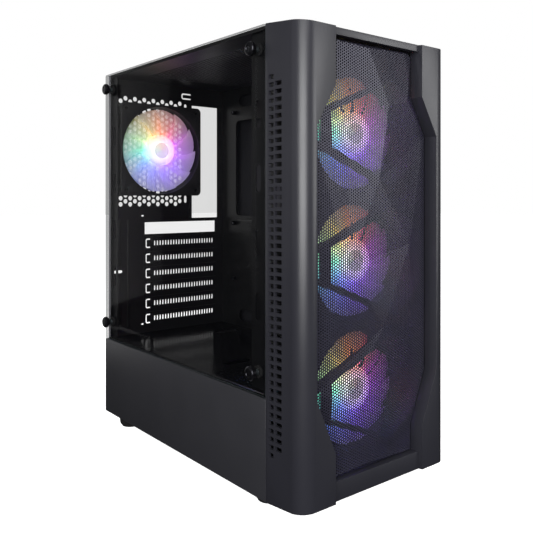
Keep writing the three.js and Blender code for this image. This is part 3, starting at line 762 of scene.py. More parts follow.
@dataclass(frozen=True)
class Finish:
    """A material and how its surface was made. Sizes are in millimetres."""

    name: str
    colour: str
    rough: float
    grain: float = 0.5
    relief: float = 0.03
    metallic: float = 0.0
    drift: float = 0.08
    coat: float = 0.0

    def material(self) -> bpy.types.Material:
        """Return the material, made at its first use."""
        made = bpy.data.materials.get(self.name)
        if made:
            return made
        made = bpy.data.materials.new(self.name)
        made.use_nodes = True
        tree = made.node_tree
        tree.nodes.clear()
        where = add_node(tree, "ShaderNodeTexCoord").outputs["Object"]
        shader = add_node(tree, "ShaderNodeBsdfPrincipled", {
            "Metallic": self.metallic, "Roughness": self.rough, "Coat Weight": self.coat,
            "Base Color": linear(self.colour)})
        self.dress(tree, shader, where)
        add_node(tree, "ShaderNodeOutputMaterial", {"Surface": shader.outputs[0]})
        return made

    def dress(self, tree: bpy.types.NodeTree, shader: bpy.types.Node,
              where: bpy.types.NodeSocket) -> None:
        """Give the shader a slow drift of tone and gloss and a fine grain.

        Args:
            tree: The material's tree.
            shader: Its shader.
            where: Place in metres.
        """
        slow = add_node(tree, "ShaderNodeTexNoise", {"Vector": where, "Scale": 1 / (45 * MM),
                                                     "Detail": 3.0})
        fine = add_node(tree, "ShaderNodeTexNoise", {
            "Vector": where, "Scale": 1 / (self.grain * MM), "Detail": 2.0})
        base = Vector(linear(self.colour)[:3])
        shades = [(*(base * (1 + self.drift * side)), 1.0) for side in (-1, 1)]
        tone = add_node(tree, "ShaderNodeMix", {0: slow.outputs[0], 6: shades[0], 7: shades[1]},
                        data_type="RGBA")
        tree.links.new(tone.outputs[2], shader.inputs["Base Color"])
        gloss = add_node(tree, "ShaderNodeMapRange", {
            0: slow.outputs[0], "To Min": self.rough - 0.05, "To Max": self.rough + 0.05})
        tree.links.new(gloss.outputs[0], shader.inputs["Roughness"])
        bump = add_node(tree, "ShaderNodeBump", {"Height": fine.outputs[0], "Strength": 0.5,
                                                 "Distance": self.relief * MM})
        tree.links.new(bump.outputs[0], shader.inputs["Normal"])


@dataclass(frozen=True)
class TemperedGlass(Finish):
    """Grey-tinted float glass: near black, and clear enough to show what is lit behind it."""

    tint: float = 0.3

    def dress(self, tree: bpy.types.NodeTree, shader: bpy.types.Node,
              where: bpy.types.NodeSocket) -> None:
        """Give the glass its tint, and faint wipe marks in its gloss.

        Args:
            tree: The material's tree.
            shader: Its shader.
            where: Place in metres.
        """
        shader.inputs["Alpha"].default_value = self.tint
        shader.inputs["IOR"].default_value = 1.52
        shader.inputs["Specular IOR Level"].default_value = 0.12
        smear = add_node(tree, "ShaderNodeTexNoise", {"Vector": where, "Scale": 1 / (80 * MM)})
        gloss = add_node(tree, "ShaderNodeMapRange", {
            0: smear.outputs[0], "To Min": self.rough, "To Max": self.rough + 0.03})
        tree.links.new(gloss.outputs[0], shader.inputs["Roughness"])


@dataclass(frozen=True)
class LitBlades(Finish):
    """Frosted polycarbonate over a ring of coloured lamps.

    It is palest at the hub, and fades outwards through a wheel of hues that starts at the glass
    side. Hot and cold are the distances from the axis where the fading starts and ends.
    """

    centre: Point2 = (0.0, 0.0)
    power: float = 1.0
    hot: float = 10.5
    cold: float = 56.0
    veil: float = 0.52
    hues: Stops = ((0.0, "#58f0b8"), (0.12, "#5f86ff"), (0.25, "#7a4dff"), (0.42, "#a43cff"),
                   (0.55, "#cc3ce4"), (0.66, "#ec5058"), (0.77, "#ff9c2e"), (0.88, "#d8e070"),
                   (1.0, "#58f0b8"))
    strength: Stops = ((0.0, "#ffffff"), (0.15, "#f0f0f0"), (0.4, "#a8a8a8"), (0.75, "#7c7c7c"),
                       (1.0, "#505050"))
    paleness: Stops = ((0.0, "#dcdcdc"), (0.1, "#b8b8b8"), (0.24, "#343434"), (0.4, "#000000"))

    def dress(self, tree: bpy.types.NodeTree, shader: bpy.types.Node,
              where: bpy.types.NodeSocket) -> None:
        """Give the glow its hue by angle and its strength by distance from the hub.

        Args:
            tree: The material's tree.
            shader: Its shader.
            where: Place in metres.
        """
        middle = TO_FRAME @ Vector((self.centre[0], 0.0, self.centre[1]))
        face = add_node(tree, "ShaderNodeMapping", {
            "Vector": where, "Rotation": (-math.pi / 2, 0.0, 0.0),
            "Location": (-middle.x, -middle.z, 0.0)})
        flat = add_node(tree, "ShaderNodeVectorMath", {0: face.outputs[0], 1: (1.0, 1.0, 0.0)},
                        operation="MULTIPLY")
        wheel = add_node(tree, "ShaderNodeTexGradient", {"Vector": flat.outputs[0]},
                         gradient_type="RADIAL")
        far = add_node(tree, "ShaderNodeVectorMath", {0: flat.outputs[0]}, operation="LENGTH")
        reach = add_node(tree, "ShaderNodeMapRange", {
            0: far.outputs["Value"], "From Min": self.hot * MM, "From Max": self.cold * MM})
        ramps = []
        for place, stops in ((wheel.outputs["Fac"], self.hues), (reach.outputs[0], self.strength),
                             (reach.outputs[0], self.paleness)):
            ramp = add_node(tree, "ShaderNodeValToRGB", {0: place})
            while len(ramp.color_ramp.elements) < len(stops):
                ramp.color_ramp.elements.new(0.5)
            for stop, (at, code) in zip(ramp.color_ramp.elements, stops):
                stop.position = at
                stop.color = linear(code)
            ramps.append(ramp.outputs[0])
        white = add_node(tree, "ShaderNodeMix", {0: ramps[2], 6: ramps[0], 7: linear("#fff6f4")},
                         data_type="RGBA")
        glow = add_node(tree, "ShaderNodeMath", {0: ramps[1], 1: self.power},
                        operation="MULTIPLY")
        tree.links.new(white.outputs[2], shader.inputs["Emission Color"])
        tree.links.new(glow.outputs[0], shader.inputs["Emission Strength"])
        shader.inputs["Alpha"].default_value = self.veil
        haze = add_node(tree, "ShaderNodeTexNoise", {"Vector": where, "Scale": 1 / (0.6 * MM)})
        bump = add_node(tree, "ShaderNodeBump", {"Height": haze.outputs[0], "Strength": 0.3,
                                                 "Distance": 0.03 * MM})
        tree.links.new(bump.outputs[0], shader.inputs["Normal"])


# Epoxy powder on steel: a soft sheen broken by a fine orange peel. Its colour is painted darker
# than the black powder itself, as painted shade for the gloom inside the case.
POWDER_STEEL_PAINTED_SHADE = Finish("powder_coated_steel", "#08080a", 0.4, grain=0.9, relief=0.05, metallic=0.0)
# Flow-coated enamel on the shroud: black and wet-looking enough to mirror the slots behind it.
GLOSSY_STEEL = Finish("enamelled_shroud_steel", "#09090b", 0.16, grain=1.2, relief=0.015)
# The same powder on the outside panels, a shade lighter and smoother; here it keeps its own colour,
# without the painted shade of the steel above.
POWDER_PANEL = Finish("powder_coated_side_panel", "#2b2b2f", 0.42, grain=0.8, relief=0.04)
# Perforated steel sprayed satin black: the facets catch the light, the hole edges stay dark.
SPRAYED_MESH = Finish("satin_sprayed_perforated_steel", "#32313e", 0.34, grain=0.6, relief=0.02,
                      metallic=0.35, drift=0.05)
# ABS from a lightly etched mould: satin, with broad soft highlights at the rounded corners.
MOULDED_BEZEL = Finish("satin_moulded_abs", "#26262c", 0.36, grain=0.35, relief=0.012, drift=0.04)
# ABS from a spark-eroded mould: dull, so that it stays behind the mesh.
MOULDED_ABS = Finish("eroded_moulded_abs", "#151518", 0.55, grain=0.4, relief=0.03)
# Glass-filled PBT: grey-black with a slightly rough flow pattern.
FAN_PBT = Finish("moulded_fan_pbt", "#111113", 0.5, grain=0.7, relief=0.03)
GLASS_PANE = TemperedGlass("tinted_tempered_glass", "#0b0c0f", 0.02, tint=0.16)
# The pane's edge faces, paler and less clear than the pane: partly the edge's own look, partly a
# painted highlight for the light along the edges.
GLASS_EDGE_HIGHLIGHT = TemperedGlass("polished_glass_edge", "#3a4042", 0.12, tint=0.6)
# Compression-moulded rubber: almost no gloss, dusty grey where it curves.
RUBBER = Finish("moulded_rubber", "#101011", 0.85, grain=0.8, relief=0.06)
# A pale grey strip behind the pane's rear edge, quite without gloss: a painted highlight standing
# for the light along that edge.
PAINTED_EDGE_HIGHLIGHT_STRIP = Finish("closed_cell_foam_tape", "#8d8d93", 0.95, grain=0.5, relief=0.05)
# Turned steel with black oxide: dark, with a sharp metallic glint on each knurl.
BLACK_OXIDE = Finish("black_oxide_turned_steel", "#2a2a2e", 0.28, grain=0.3, relief=0.01,
                     metallic=0.9)
# Nickel on stamped steel: bright and a little clouded.
NICKEL = Finish("nickel_plated_stamping", "#c9cacc", 0.25, grain=0.4, relief=0.01, metallic=1.0)
USB3_BLUE = Finish("moulded_blue_insulator", "#1c5fc4", 0.4, grain=0.4, relief=0.01)
# Textured powder on the supply's steel box.
SUPPLY_STEEL = Finish("textured_powder_coated_steel", "#1a1a1c", 0.6, grain=0.7, relief=0.09)
NYLON_MESH = Finish("woven_nylon_screen", "#1b1b1d", 0.6, grain=0.35, relief=0.03)


# ---- the case's parts -----------------------------------------------------------------------


@dataclass
class Chassis:
    """The folded steel box: rear panel, tray, front plate, floor, roof and supply shroud."""

    steel: float = 1.2
    left: float = 4.5
    right: float = 198.4
    floor: float = 16.6
    top: float = 449.4
    roof: float = 446.6
    middle: float = 100.0
    fan_z: tuple[float, float, float] = (355, 230, 105)
    front_fan_back: float = -325.0
    rear_fan: Point2 = (69, 354)
    rear_fan_back: float = -1.5
    slot_x: Span = (56, 170)
    slot_rows: Sequence[float] = tuple(250 - 20.32 * row for row in range(7))
    glass_slots: Sequence[float] = (190, 250, 310, 370)
    comb: Holes = Holes((66, 352.5), (91, 142), (6.93, 8.0), (6.3, 6.3), sides=10)

    def rear_panel(self) -> bpy.types.Mesh:
        """Pierce the rear panel: fan comb, connector plate, card slots, supply and punched ties."""
        low, high = self.slot_x
        cuts = [rect(129.6, 262.65, 174, 421.4), rect(25, 24, 169, 105)]
        cuts += [rect(low, z - 8, high, z + 8) for z in self.slot_rows]
        cuts += [circle(191.5, z, 2.6, 16) for z in (400, 60)]
        cuts += [obround(17, 194, 13, 3.8), obround(53, 266.9, 4, 2), obround(53, 121.4, 4, 2)]
        cuts += [obround(x, z, 4.4, 10) for x in (12.5, 120) for z in (289, 417.5)]
        cuts.append([(129, 429), (129, 431), (116.5, 431), (116, 431.6), (116, 434.9),
                     (116.5, 435.5), (129, 435.5), (129, 437.5), (115.5, 437.5), (113.6, 435.6),
                     (113.6, 430.9), (115.5, 429)])
        edge = rounded(rect(self.left, self.floor, self.right, self.top), 2)
        sheet = plate([edge, *cuts], self.steel, [self.comb], Plane.FRONT.at(0))
        beads = [block((x - 2, x + 2), (-2.1, -1), span, 0.9, 2)
                 for x, span in ((19, (118, 186)), (19, (202, 262)), (32, (118, 262)))]
        fold = self.fold(rect(-20, 113.8, -0.7, 446.3), [(-9, 430), (-9, 132)], (-12, 7))
        rim = block((126.4, 129.4), (-3.4, -1.1), (260, 424), 0.6)
        return joined([sheet, fold, rim, *beads])

    def fold(self, edge: Loop, screws: Sequence[Point2], slots: Point2) -> bpy.types.Mesh:
        """Fold a flange that stands behind an edge of the glass.

        Args:
            edge: Its outline.
            screws: Where the glass's screws go through it.
            slots: The middle and the width of the row of slots that lightens it.

        Returns:
            The flange.
        """
        holes = [circle(y, z, 2.6, 16) for y, z in screws]
        holes += [obround(slots[0], z, slots[1], 26) for z in self.glass_slots]
        return plate([rounded(edge, 1), *holes], self.steel, place=Plane.SIDE.at(7))

    def slot_cover(self, z: float) -> bpy.types.Mesh:
        """Make one ventilated card-slot cover with its bent tab and punched hook.

        Args:
            z: The height of its middle.

        Returns:
            The cover.
        """
        low, high = self.slot_x
        vents = Holes((117.6, z), (93.7, 3), (4.255, 4), (2.3, 6.8), stagger=0, sides=8)
        edge = rounded(rect(low - 2, z - 8.9, high + 2, z + 8.9), 1.2)
        hook = [(64, -6.4), (64, -4.6), (59.4, -4.6), (58.8, -4), (58.8, 4), (59.4, 4.6), (64, 4.6),
                (64, 6.4), (58.6, 6.4), (57, 4.8), (57, -4.8), (58.6, -6.4)]
        sheet = plate([edge, [(u, z + v) for u, v in hook]], 0.9, [vents], Plane.FRONT.at(1.3))
        tab = block((low + 9.5, low + 11.5), (-2.9, -1.9), (z - 6, z + 6), 0.4)
        return joined([sheet, tab])

    def tray(self) -> bpy.types.Mesh:
        """Pierce the motherboard tray and give it its folded lips round the large windows."""
        windows = [rounded(rect(-170, 266, -37, 400), 7), obround(-262, 340, 26, 84, 8),
                   obround(-262, 210, 26, 84, 8)]
        windows += [obround(y, 428, 34, 16) for y in (-60, -130, -200, -262)]
        windows += [obround(y, 126, 34, 16) for y in (-60, -130, -200)]
        ties = [obround(y, z, 3, 9, 4) for y in (-236, -296) for z in range(160, 420, 22)]
        edge = rounded(rect(-323.2, 98, -1.5, 446.3), 2)
        sheet = plate([edge, *windows, *ties], self.steel, place=Plane.SIDE.at(183))
        lips = []
        for hole in windows[:3]:
            grown = [Vector(p) for p in hole]
            middle = sum(grown, Vector((0, 0))) / len(grown)
            outer = [tuple(p + (p - middle).normalized() * 1.2) for p in grown]
            lips.append(plate([outer, hole], 1.6, place=Plane.SIDE.at(181.5)))
        shelf = block((181.2, 183.1), (-236, -40), (257, 260), 0.7)
        return joined([sheet, shelf, *lips])

    def standoffs(self) -> bpy.types.Mesh:
        """Screw the brass-shaped posts of a full-size board into the tray."""
        post = lathe([(0, 0), (2.6, 0), (3.1, 0.5), (3.1, 5.2), (2.4, 5.8), (1.5, 5.8), (1.5, 3),
                      (0, 3)], 6)
        places = [(183.05, y, z) for y in (-33, -178, -226) for z in (412, 255, 176)]
        post.transform(Matrix.Rotation(-math.pi / 2, 4, "Y"))
        return repeated(post, places)

    def front_plate(self) -> bpy.types.Mesh:
        """Pierce the plate that carries the three front fans."""
        edge = rounded(rect(self.left, 18.1, self.right, 446.3), 2)
        cuts: list[Loop] = [circle(100, z, 57.5, 64) for z in self.fan_z]
        for z in self.fan_z:
            cuts += [obround(100 + u, z + v, 5, 11) for u in (-52.5, 52.5) for v in (-52.5, 52.5)]
        cuts += [obround(x, z, 5, 24) for x in (22, 178) for z in (60, 170, 292, 400)]
        sheet = plate([edge, *cuts], self.steel, place=Plane.FRONT.at(323.5))
        fold = self.fold(rect(-324.1, 113.8, -302, 446.3), [(-314, 429), (-314, 130)], (-312, 8))
        return joined([sheet, fold])

    def floor_pan(self) -> bpy.types.Mesh:
        """Pierce the floor under the supply's fan and press two long beads into it."""
        edge = rounded(rect(self.left, -331.2, self.right, -1.5), 2)
        intake = Holes((97, -75), (118, 118), (5.2, 6.0), (4.7, 4.7), oval=True, sides=8)
        sheet = plate([edge], self.steel, [intake], Plane.ROOF.at(16.6))
        beads = [block((x - 3, x + 3), (-300, -160), (17.5, 17.9), 0.15) for x in (20, 184)]
        return joined([sheet, *beads])

    def roof_pan(self) -> bpy.types.Mesh:
        """Pierce the roof under the dust filter, round a gap for the socket module."""
        edge = rounded(rect(self.left, -331.2, self.right, -1.5), 2)
        vents = Holes((100, -163), (122, 232), (5.2, 6.0), (4.6, 4.6), sides=6)
        pan = plate([edge, rounded(rect(44.7, -321.3, 155.3, -296.7), 2.5)], self.steel, [vents],
                    Plane.ROOF.at(self.roof))
        lip = block((4.6, 6.2), (-331, -1.5), (self.roof + 0.4, 449.3), 0.4)
        return joined([pan, lip])

    def shroud(self) -> bpy.types.Mesh:
        """Fold the supply shroud: a slotted roof and a side wall that meet in a small radius."""
        slots = [obround(150, -205, 34, 22, 8), obround(150, -60, 34, 16, 8),
                 obround(60, -205, 34, 16, 8)]
        vents = [Holes((80, -262), (128, 66), (6.06, 7), (4.4, 4.4), sides=6)]
        roof = plate([rect(9, -323.2, 182.7, -1.5), *slots], self.steel, vents,
                     Plane.ROOF.at(108.6))
        wall = plate([rect(-323.2, 18.1, -1.5, 107.8)], self.steel, place=Plane.SIDE.at(7))
        corner = [(9, 109.8), (8.2, 109.63), (7.37, 109), (7, 107.8), (8.2, 107.8), (8.4, 108.4),
                  (9, 108.6)]
        fold = plate([corner], 321.7, place=Plane.FRONT.at(1.5))
        return joined([roof, wall, fold])

    def build(self) -> None:
        """Publish the chassis pieces."""
        rows = [("pierced_rear_panel", self.rear_panel(), "black_steel", POWDER_STEEL_PAINTED_SHADE, "rear_panel",
                 "rear_panel_lower")]
        rows += [(f"vented_slot_cover_{row}", self.slot_cover(z), "black_steel", POWDER_STEEL_PAINTED_SHADE,
                  f"slot_cover_{row}") for row, z in enumerate(self.slot_rows[1:], 2)]
        rows += [
            ("pierced_tray", self.tray(), "black_steel", POWDER_STEEL_PAINTED_SHADE, "motherboard_tray"),
            ("board_posts", self.standoffs(), "black_steel", BLACK_OXIDE),
            ("fan_plate", self.front_plate(), "black_steel", POWDER_STEEL_PAINTED_SHADE, "front_chassis_plate"),
            ("floor_pan", self.floor_pan(), "black_steel", POWDER_STEEL_PAINTED_SHADE, "chassis_floor"),
            ("roof_pan", self.roof_pan(), "panel_steel", POWDER_PANEL, "chassis_top"),
            ("folded_shroud", self.shroud(), "black_steel", GLOSSY_STEEL, "psu_shroud")]
        for name, mesh, slot, finish, *nodes in rows:
            publish(name, mesh, "chassis", slot, finish, *nodes)


@dataclass
class Thumbscrew:
    """A captive screw with a knurled head that fingers can turn."""

    head: float = 6.5
    length: float = 6.3
    shank: float = 2.0
    reach: float = 13.5
    knurls: int = 40

    def mesh(self) -> bpy.types.Mesh:
        """Turn the head and threaded shank, and cut the knurls, seat at z = 0 and head upwards."""
        r, h = self.head, self.length
        end = -self.reach
        profile = [(0, end), (self.shank - 0.5, end), (self.shank, end + 0.6)]
        for i in range(12):
            z = end + 1 + i * 0.9
            profile += [(self.shank, z), (self.shank - 0.3, z + 0.45)]
        profile += [(self.shank, -1), (self.shank, 0), (4.9, 0), (5.2, 0.3), (5.2, 1.1),
                    (r - 0.5, 1.3), (r - 0.1, 1.7), (r - 0.1, h - 1.1), (r - 0.9, h - 0.25),
                    (r - 1.7, h), (3.4, h), (3.0, h - 0.5), (0, h - 0.5)]
        knurl = block((r - 0.45, r + 0.25), (-0.24, 0.24), (1.9, h - 1.3), 0.16, 1)
        knurls = repeated(knurl, [(0, 0, 0)], self.knurls, turn=360 / self.knurls)
        cross = [block((-2.2, 2.2), (-0.35, 0.35), (h - 0.6, h - 0.2), 0.08, 1)]
        cross.append(moved(cross[0], Matrix.Rotation(math.pi / 2, 4, "Z")))
        return joined([lathe(profile, 36), knurls, *cross])


@dataclass
class SidePanels:
    """The glass pane, the cover below it, the steel panel opposite and their screws."""

    front: float = -331.5
    shroud_top: float = 109.8
    top: float = 449.4
    screws: dict[str, Point2] = field(default_factory=lambda: {
        "front_upper": (-314, 429), "front_lower": (-314, 130), "rear_upper": (-9, 430),
        "rear_lower": (-9, 132)})
    panel_screws: dict[str, float] = field(default_factory=lambda: {"upper": 400, "lower": 60})
    screw: Thumbscrew = field(default_factory=Thumbscrew)

    def pane(self) -> bpy.types.Mesh:
        """Cut and drill the pane, and grind its edges; the edges take material number 1."""
        outline = rounded(rect(self.front, self.shroud_top, 0, self.top), 2.5, 6)
        holes = [circle(y, z, 3, 24) for y, z in self.screws.values()]
        mesh = softened(plate([outline, *holes], 4, place=Plane.SIDE.at(0)), 0.35, 2)
        for face in mesh.polygons:
            face.material_index = int(abs(face.normal.x) < 0.99)
        return mesh

    def cover(self) -> bpy.types.Mesh:
        """Fold the cover below the pane, with rolled upper and lower edges."""
        return node_copy("shroud_side_cover", 0.5, 3)

    def right_panel(self) -> bpy.types.Mesh:
        """Press the steel panel: a wide field set 0.6 mm inwards, and its two returns."""
        rims = [(0.0, 0.0), (24, 0.0), (27, -0.6), (30, -0.62)]
        edge = (self.front, 16.3, 1.5, self.top)
        grow = (1, 1, -1, -1)
        steps = [(rounded(rect(*(side + by * way for side, way in zip(edge, grow))),
                          max(2, by / 2), 6), height) for by, height in rims]
        skin = pressed(steps, 0.8, Plane.SIDE.at(200))
        ear = plate([rounded(rect(186, 16.6, 199.2, self.top), 2), circle(191.5, 400, 2.6, 20),
                     circle(191.5, 60, 2.6, 20)], 1.2, place=Plane.FRONT.at(-1.5))
        lip = block((190.8, 199), (self.front, self.front + 1.2), (448.1, self.top), 0.2)
        return joined([skin, ear, lip])

    def build(self) -> None:
        """Publish the panels and their screws, each on its own body."""
        publish("tinted_pane", self.pane(), "glass_door", "tinted_glass", GLASS_PANE,
                "glass_side_panel", second=GLASS_EDGE_HIGHLIGHT)
        # Two strips just behind the pane: the pale grey one along its rear edge is a painted
        # highlight for that edge, and the black one along its top edge darkens that edge to a thin
        # dark line.
        edge_strips_behind_pane = (("black", (-330, -6), (445.6, 449.2), RUBBER),
                 ("grey", (-5.2, -0.4), (111, 449.2), PAINTED_EDGE_HIGHLIGHT_STRIP))
        for tone, run, rise, finish in edge_strips_behind_pane:
            publish(f"{tone}_foam_seal", block((4.05, 4.45), run, rise, 0.15), "chassis", "rubber",
                    finish)
        publish("lower_side_cover", self.cover(), "chassis", "panel_steel", POWDER_PANEL,
                "shroud_side_cover")
        publish("pressed_side_panel", self.right_panel(), "right_door", "panel_steel", POWDER_PANEL,
                "right_side_panel")
        for place, (y, z) in self.screws.items():
            seat = Matrix.Translation((-0.3, y, z)) @ Matrix.Rotation(-math.pi / 2, 4, "Y")
            publish(f"knurled_screw_{place}", moved(self.screw.mesh(), seat),
                    f"glass_screw_{place}", "screw_metal", BLACK_OXIDE, f"glass_thumbscrew_{place}")
            ring = lathe([(2.7, 0), (5.6, 0), (6, 0.4), (6, 2), (5.6, 2.4), (2.7, 2.4), (2.7, 0)])
            at = Matrix.Translation((4.3, y, z)) @ Matrix.Rotation(math.pi / 2, 4, "Y")
            publish(f"rubber_ring_{place}", moved(ring, at), "chassis", "rubber", RUBBER,
                    f"glass_standoff_{place}")
        for place, z in self.panel_screws.items():
            seat = Matrix.Translation((191.5, 1.8, z)) @ Matrix.Rotation(-math.pi / 2, 4, "X")
            publish(f"knurled_panel_screw_{place}", moved(self.screw.mesh(), seat),
                    f"panel_screw_{place}", "screw_metal", BLACK_OXIDE, f"panel_thumbscrew_{place}")


@dataclass
class FrontCover:
    """The moulded bezel, the folded mesh in its window and the ribs behind it."""

    sheet: float = 0.8
    middle: float = 100.0
    outline: Sequence[Point2] = ((156, 38.6), (156, 64), (178, 116), (178, 355), (156, 394),
                                 (156, 432), (152, 436), (45, 436), (44, 394), (22, 355),
                                 (22, 116), (44, 64), (44, 38.6))
    pitch: Point2 = (2.25, 2.6)
    hole: float = 1.95
    columns: int = 6
    vents: Sequence[tuple[Span, Span]] = (((-343.2, -336.4), (54.6, 407)),
                                          ((-354.3, -345.0), (65.6, 397)))

    def mesh_half(self, side: int) -> bpy.types.Mesh:
        """Perforate one half of the front sheet and lay it on the folded surface.

        Args:
            side: -1 for the half at the glass side, 1 for the other.

        Returns:
            The half as a mesh.
        """
        width = self.pitch[0] * self.columns
        edge = inset(self.outline, 0.06)
        half = sorted((self.middle, self.middle + side * 80))
        starts = [half[0] + i * width for i in range(math.ceil(80 / width))]
        if side < 0:
            starts = [self.middle - (i + 1) * width for i in range(math.ceil(80 / width))][::-1]
        strips = [between(edge, u, u + width) for u in starts]
        strips = [stepped(strip, self.pitch[1]) for strip in strips if len(strip) > 2]
        run = len(starts) * width
        holes = Holes((starts[0] + run / 2, 237.3), (run - self.pitch[0], 396.5), self.pitch,
                      (self.hole, self.hole))
        keep = mesh_object("keep", plate([inset(self.outline, self.hole / 2 + 0.45)], 0.5))
        work = mesh_object("sheet", edge_mesh(strips))
        holes.cut(work, keep)
        SHEET.use(work, Thickness=-self.sheet, Strip_Start=starts[0], Strip_Width=width)
        guide = mesh_object("guide", moved(node_copy("front_mesh"), Plane.FRONT.value.inverted()))
        DRAPE.use(work, Guide=guide)
        mesh = evaluated(work)
        for helper in (keep, guide):
            bpy.data.objects.remove(helper)
        mesh.flip_normals()
        mesh.transform(Plane.FRONT.value)
        return mesh

    def bezel(self) -> bpy.types.Mesh:
        """Round the bezel's edges and cut two columns of vents into its glass side."""
        shell = node_copy("front_bezel", 0.7, 3, 28)
        cutters = []
        for (y0, y1), (z0, z1) in self.vents:
            slot = block((-3, 5), (y0, y1), (-2.05, 2.05), 0.5, 1)
            count = int((z1 - z0) / 7.2)
            first = (0, 0, (z0 + z1 - (count - 1) * 7.2) / 2)
            cutters.append(repeated(slot, [first], count, (0, 0, 7.2)))
        return combined(shell, [joined(cutters)])

    def build(self) -> None:
        """Publish the cover's pieces."""
        publish("satin_bezel", self.bezel(), "front_cover", "bezel_plastic", MOULDED_BEZEL,
                "front_bezel")
        publish("folded_mesh_left", self.mesh_half(-1), "front_cover", "mesh_steel", SPRAYED_MESH,
                "front_mesh", smooth=0)
        publish("folded_mesh_right", self.mesh_half(1), "front_cover", "mesh_steel", SPRAYED_MESH,
                "front_mesh", smooth=0)
        publish("hexagon_ribs", node_copy("hex_support_frame", 0.35, 2), "front_cover",
                "black_plastic", MOULDED_ABS, "hex_support_frame")


@dataclass
class Fan:
    """A 120 mm fan whose frosted blades glow from the hub, drawn with its outlet at y = back.

    Each blade spans one share of the turn and a spill of some degrees over the next.
    """

    place: str
    centre: Point2
    back: float
    body: str
    power: float = 2.7
    core: float = 0.05
    size: float = 120.0
    depth: float = 25.0
    bore: float = 57.5
    bolt: float = 52.5
    bolt_hole: float = 2.2
    flange: float = 3.6
    spill: float = 9.0
    blades: int = 11
    hub: float = 20.5
    tip: float = 54.5

    def stand(self, offset: float) -> Matrix:
        """Return the move from a drawing about +Z to this fan, its z = 0 at y = offset."""
        turn = Plane.FRONT.value
        return Matrix.Translation((self.centre[0], offset, self.centre[1])) @ turn

    def housing(self) -> bpy.types.Mesh:
        """Mould the frame: two flanges, duct, corner posts, curved struts and motor seat."""
        half = self.size / 2
        square = rounded(rect(-half, -half, half, half), 6, 6)
        ends = (-self.bolt, self.bolt)
        bolts = [circle(u, v, self.bolt_hole, 14) for u in ends for v in ends]
        duct = circle(0, 0, self.bore, 72)
        flange = softened(plate([square, duct, *bolts], self.flange), 0.4, 2)
        far = moved(flange, Matrix.Translation((0, 0, self.depth - self.flange)))
        between_flanges = self.depth - 2 * (self.flange - 0.2)
        wall = plate([circle(0, 0, self.bore + 1.8, 72), duct], between_flanges)
        wall.transform(Matrix.Translation((0, 0, self.flange - 0.2)))
        post = plate([rounded([(46.5, 56), (56, 46.5), (59.2, 50), (59.2, 55), (55, 59.2),
                               (50, 59.2)], 0.8, 2),
                      circle(self.bolt, self.bolt, self.bolt_hole, 14)], between_flanges)
        post.transform(Matrix.Translation((0, 0, self.flange - 0.2)))
        posts = repeated(post, [(0, 0, 0)], 4, turn=90)
        rings = []
        for k in range(13):
            r = 17 + (self.bore + 1.2 - 17) * k / 12
            angle = 0.5 * (k / 12) ** 1.3
            across = Vector((-math.sin(angle + 0.25), math.cos(angle + 0.25), 0)) * 1.9
            mid = Vector((r * math.cos(angle), r * math.sin(angle), 0))
            rings.append([mid + across * s + Vector((0, 0, h))
                          for s, h in ((-1, 0.2), (1, 0.2), (1, 3.0), (-1, 3.0))])
        struts = repeated(softened(lofted(rings), 0.4, 2), [(0, 0, 0)], 4, turn=90)
        seat = lathe([(0, 0.1), (18.2, 0.1), (19, 0.9), (19, 3.0), (18.4, 3.4), (0, 3.4)], 48)
        return joined([flange, far, wall, posts, struts, seat], self.stand(self.back))

    def blade(self) -> bpy.types.Mesh:
        """Sweep one cambered blade from the hub to the tip, pitched steeper near the hub."""
        made = bmesh.new()
        across, along = 8, 8
        sides = []
        for lift in (0.0, 1.3):
            grid = []
            for i in range(along + 1):
                t = i / along
                r = self.hub - 1.0 + (self.tip - self.hub + 1.0) * t
                span = math.radians(360 / self.blades + self.spill)
                lean = math.radians(14) * t ** 1.5
                row = []
                for k in range(across + 1):
                    s = k / across
                    angle = lean + span * (s - 0.5)
                    h = 6.5 + 8.0 * s ** 0.85 + 1.2 * math.sin(math.pi * s) + lift
                    thin = 1 - 0.55 * abs(2 * s - 1) ** 3
                    h += (0.65 - lift) * (1 - thin)
                    row.append(made.verts.new((r * math.cos(angle), r * math.sin(angle), h)))
                grid.append(row)
            sides.append(grid)
            for i in range(along):
                for k in range(across):
                    made.faces.new((grid[i][k], grid[i + 1][k], grid[i + 1][k + 1], grid[i][k + 1]))
        low, high = sides
        rim = [(i, 0) for i in range(along)] + [(along, k) for k in range(across)]
        rim += [(i, across) for i in range(along, 0, -1)] + [(0, k) for k in range(across, 0, -1)]
        for here, there in zip(rim, rim[1:] + rim[:1]):
            made.faces.new((low[here[0]][here[1]], low[there[0]][there[1]],
                            high[there[0]][there[1]], high[here[0]][here[1]]))
        bmesh.ops.recalc_face_normals(made, faces=made.faces[:])
        return plain(made)

    def rotor(self) -> bpy.types.Mesh:
        """Set the blades round a hub whose front shoulder is a glowing ring."""
        hub = lathe([(0, 0.3), (19.4, 0.3), (20.5, 1.4), (20.5, 17.2), (20.1, 18.2), (19.2, 18.8),
                     (12, 19.0), (11, 18.9), (10.6, 18.2), (0, 18.2)], 64)
        vanes = repeated(self.blade(), [(0, 0, 0)], self.blades, turn=360 / self.blades)
        return joined([hub, vanes], self.stand(self.back - 4))

    def cap(self) -> bpy.types.Mesh:
        """Turn the plain cap in the middle of the hub."""
        disc = lathe([(0, 17.8), (10.4, 17.8), (10.4, 18.8), (9.9, 19.0), (8.6, 19.0), (8.3, 18.7),
                      (0, 18.7)], 48)
        return moved(disc, self.stand(self.back - 4))

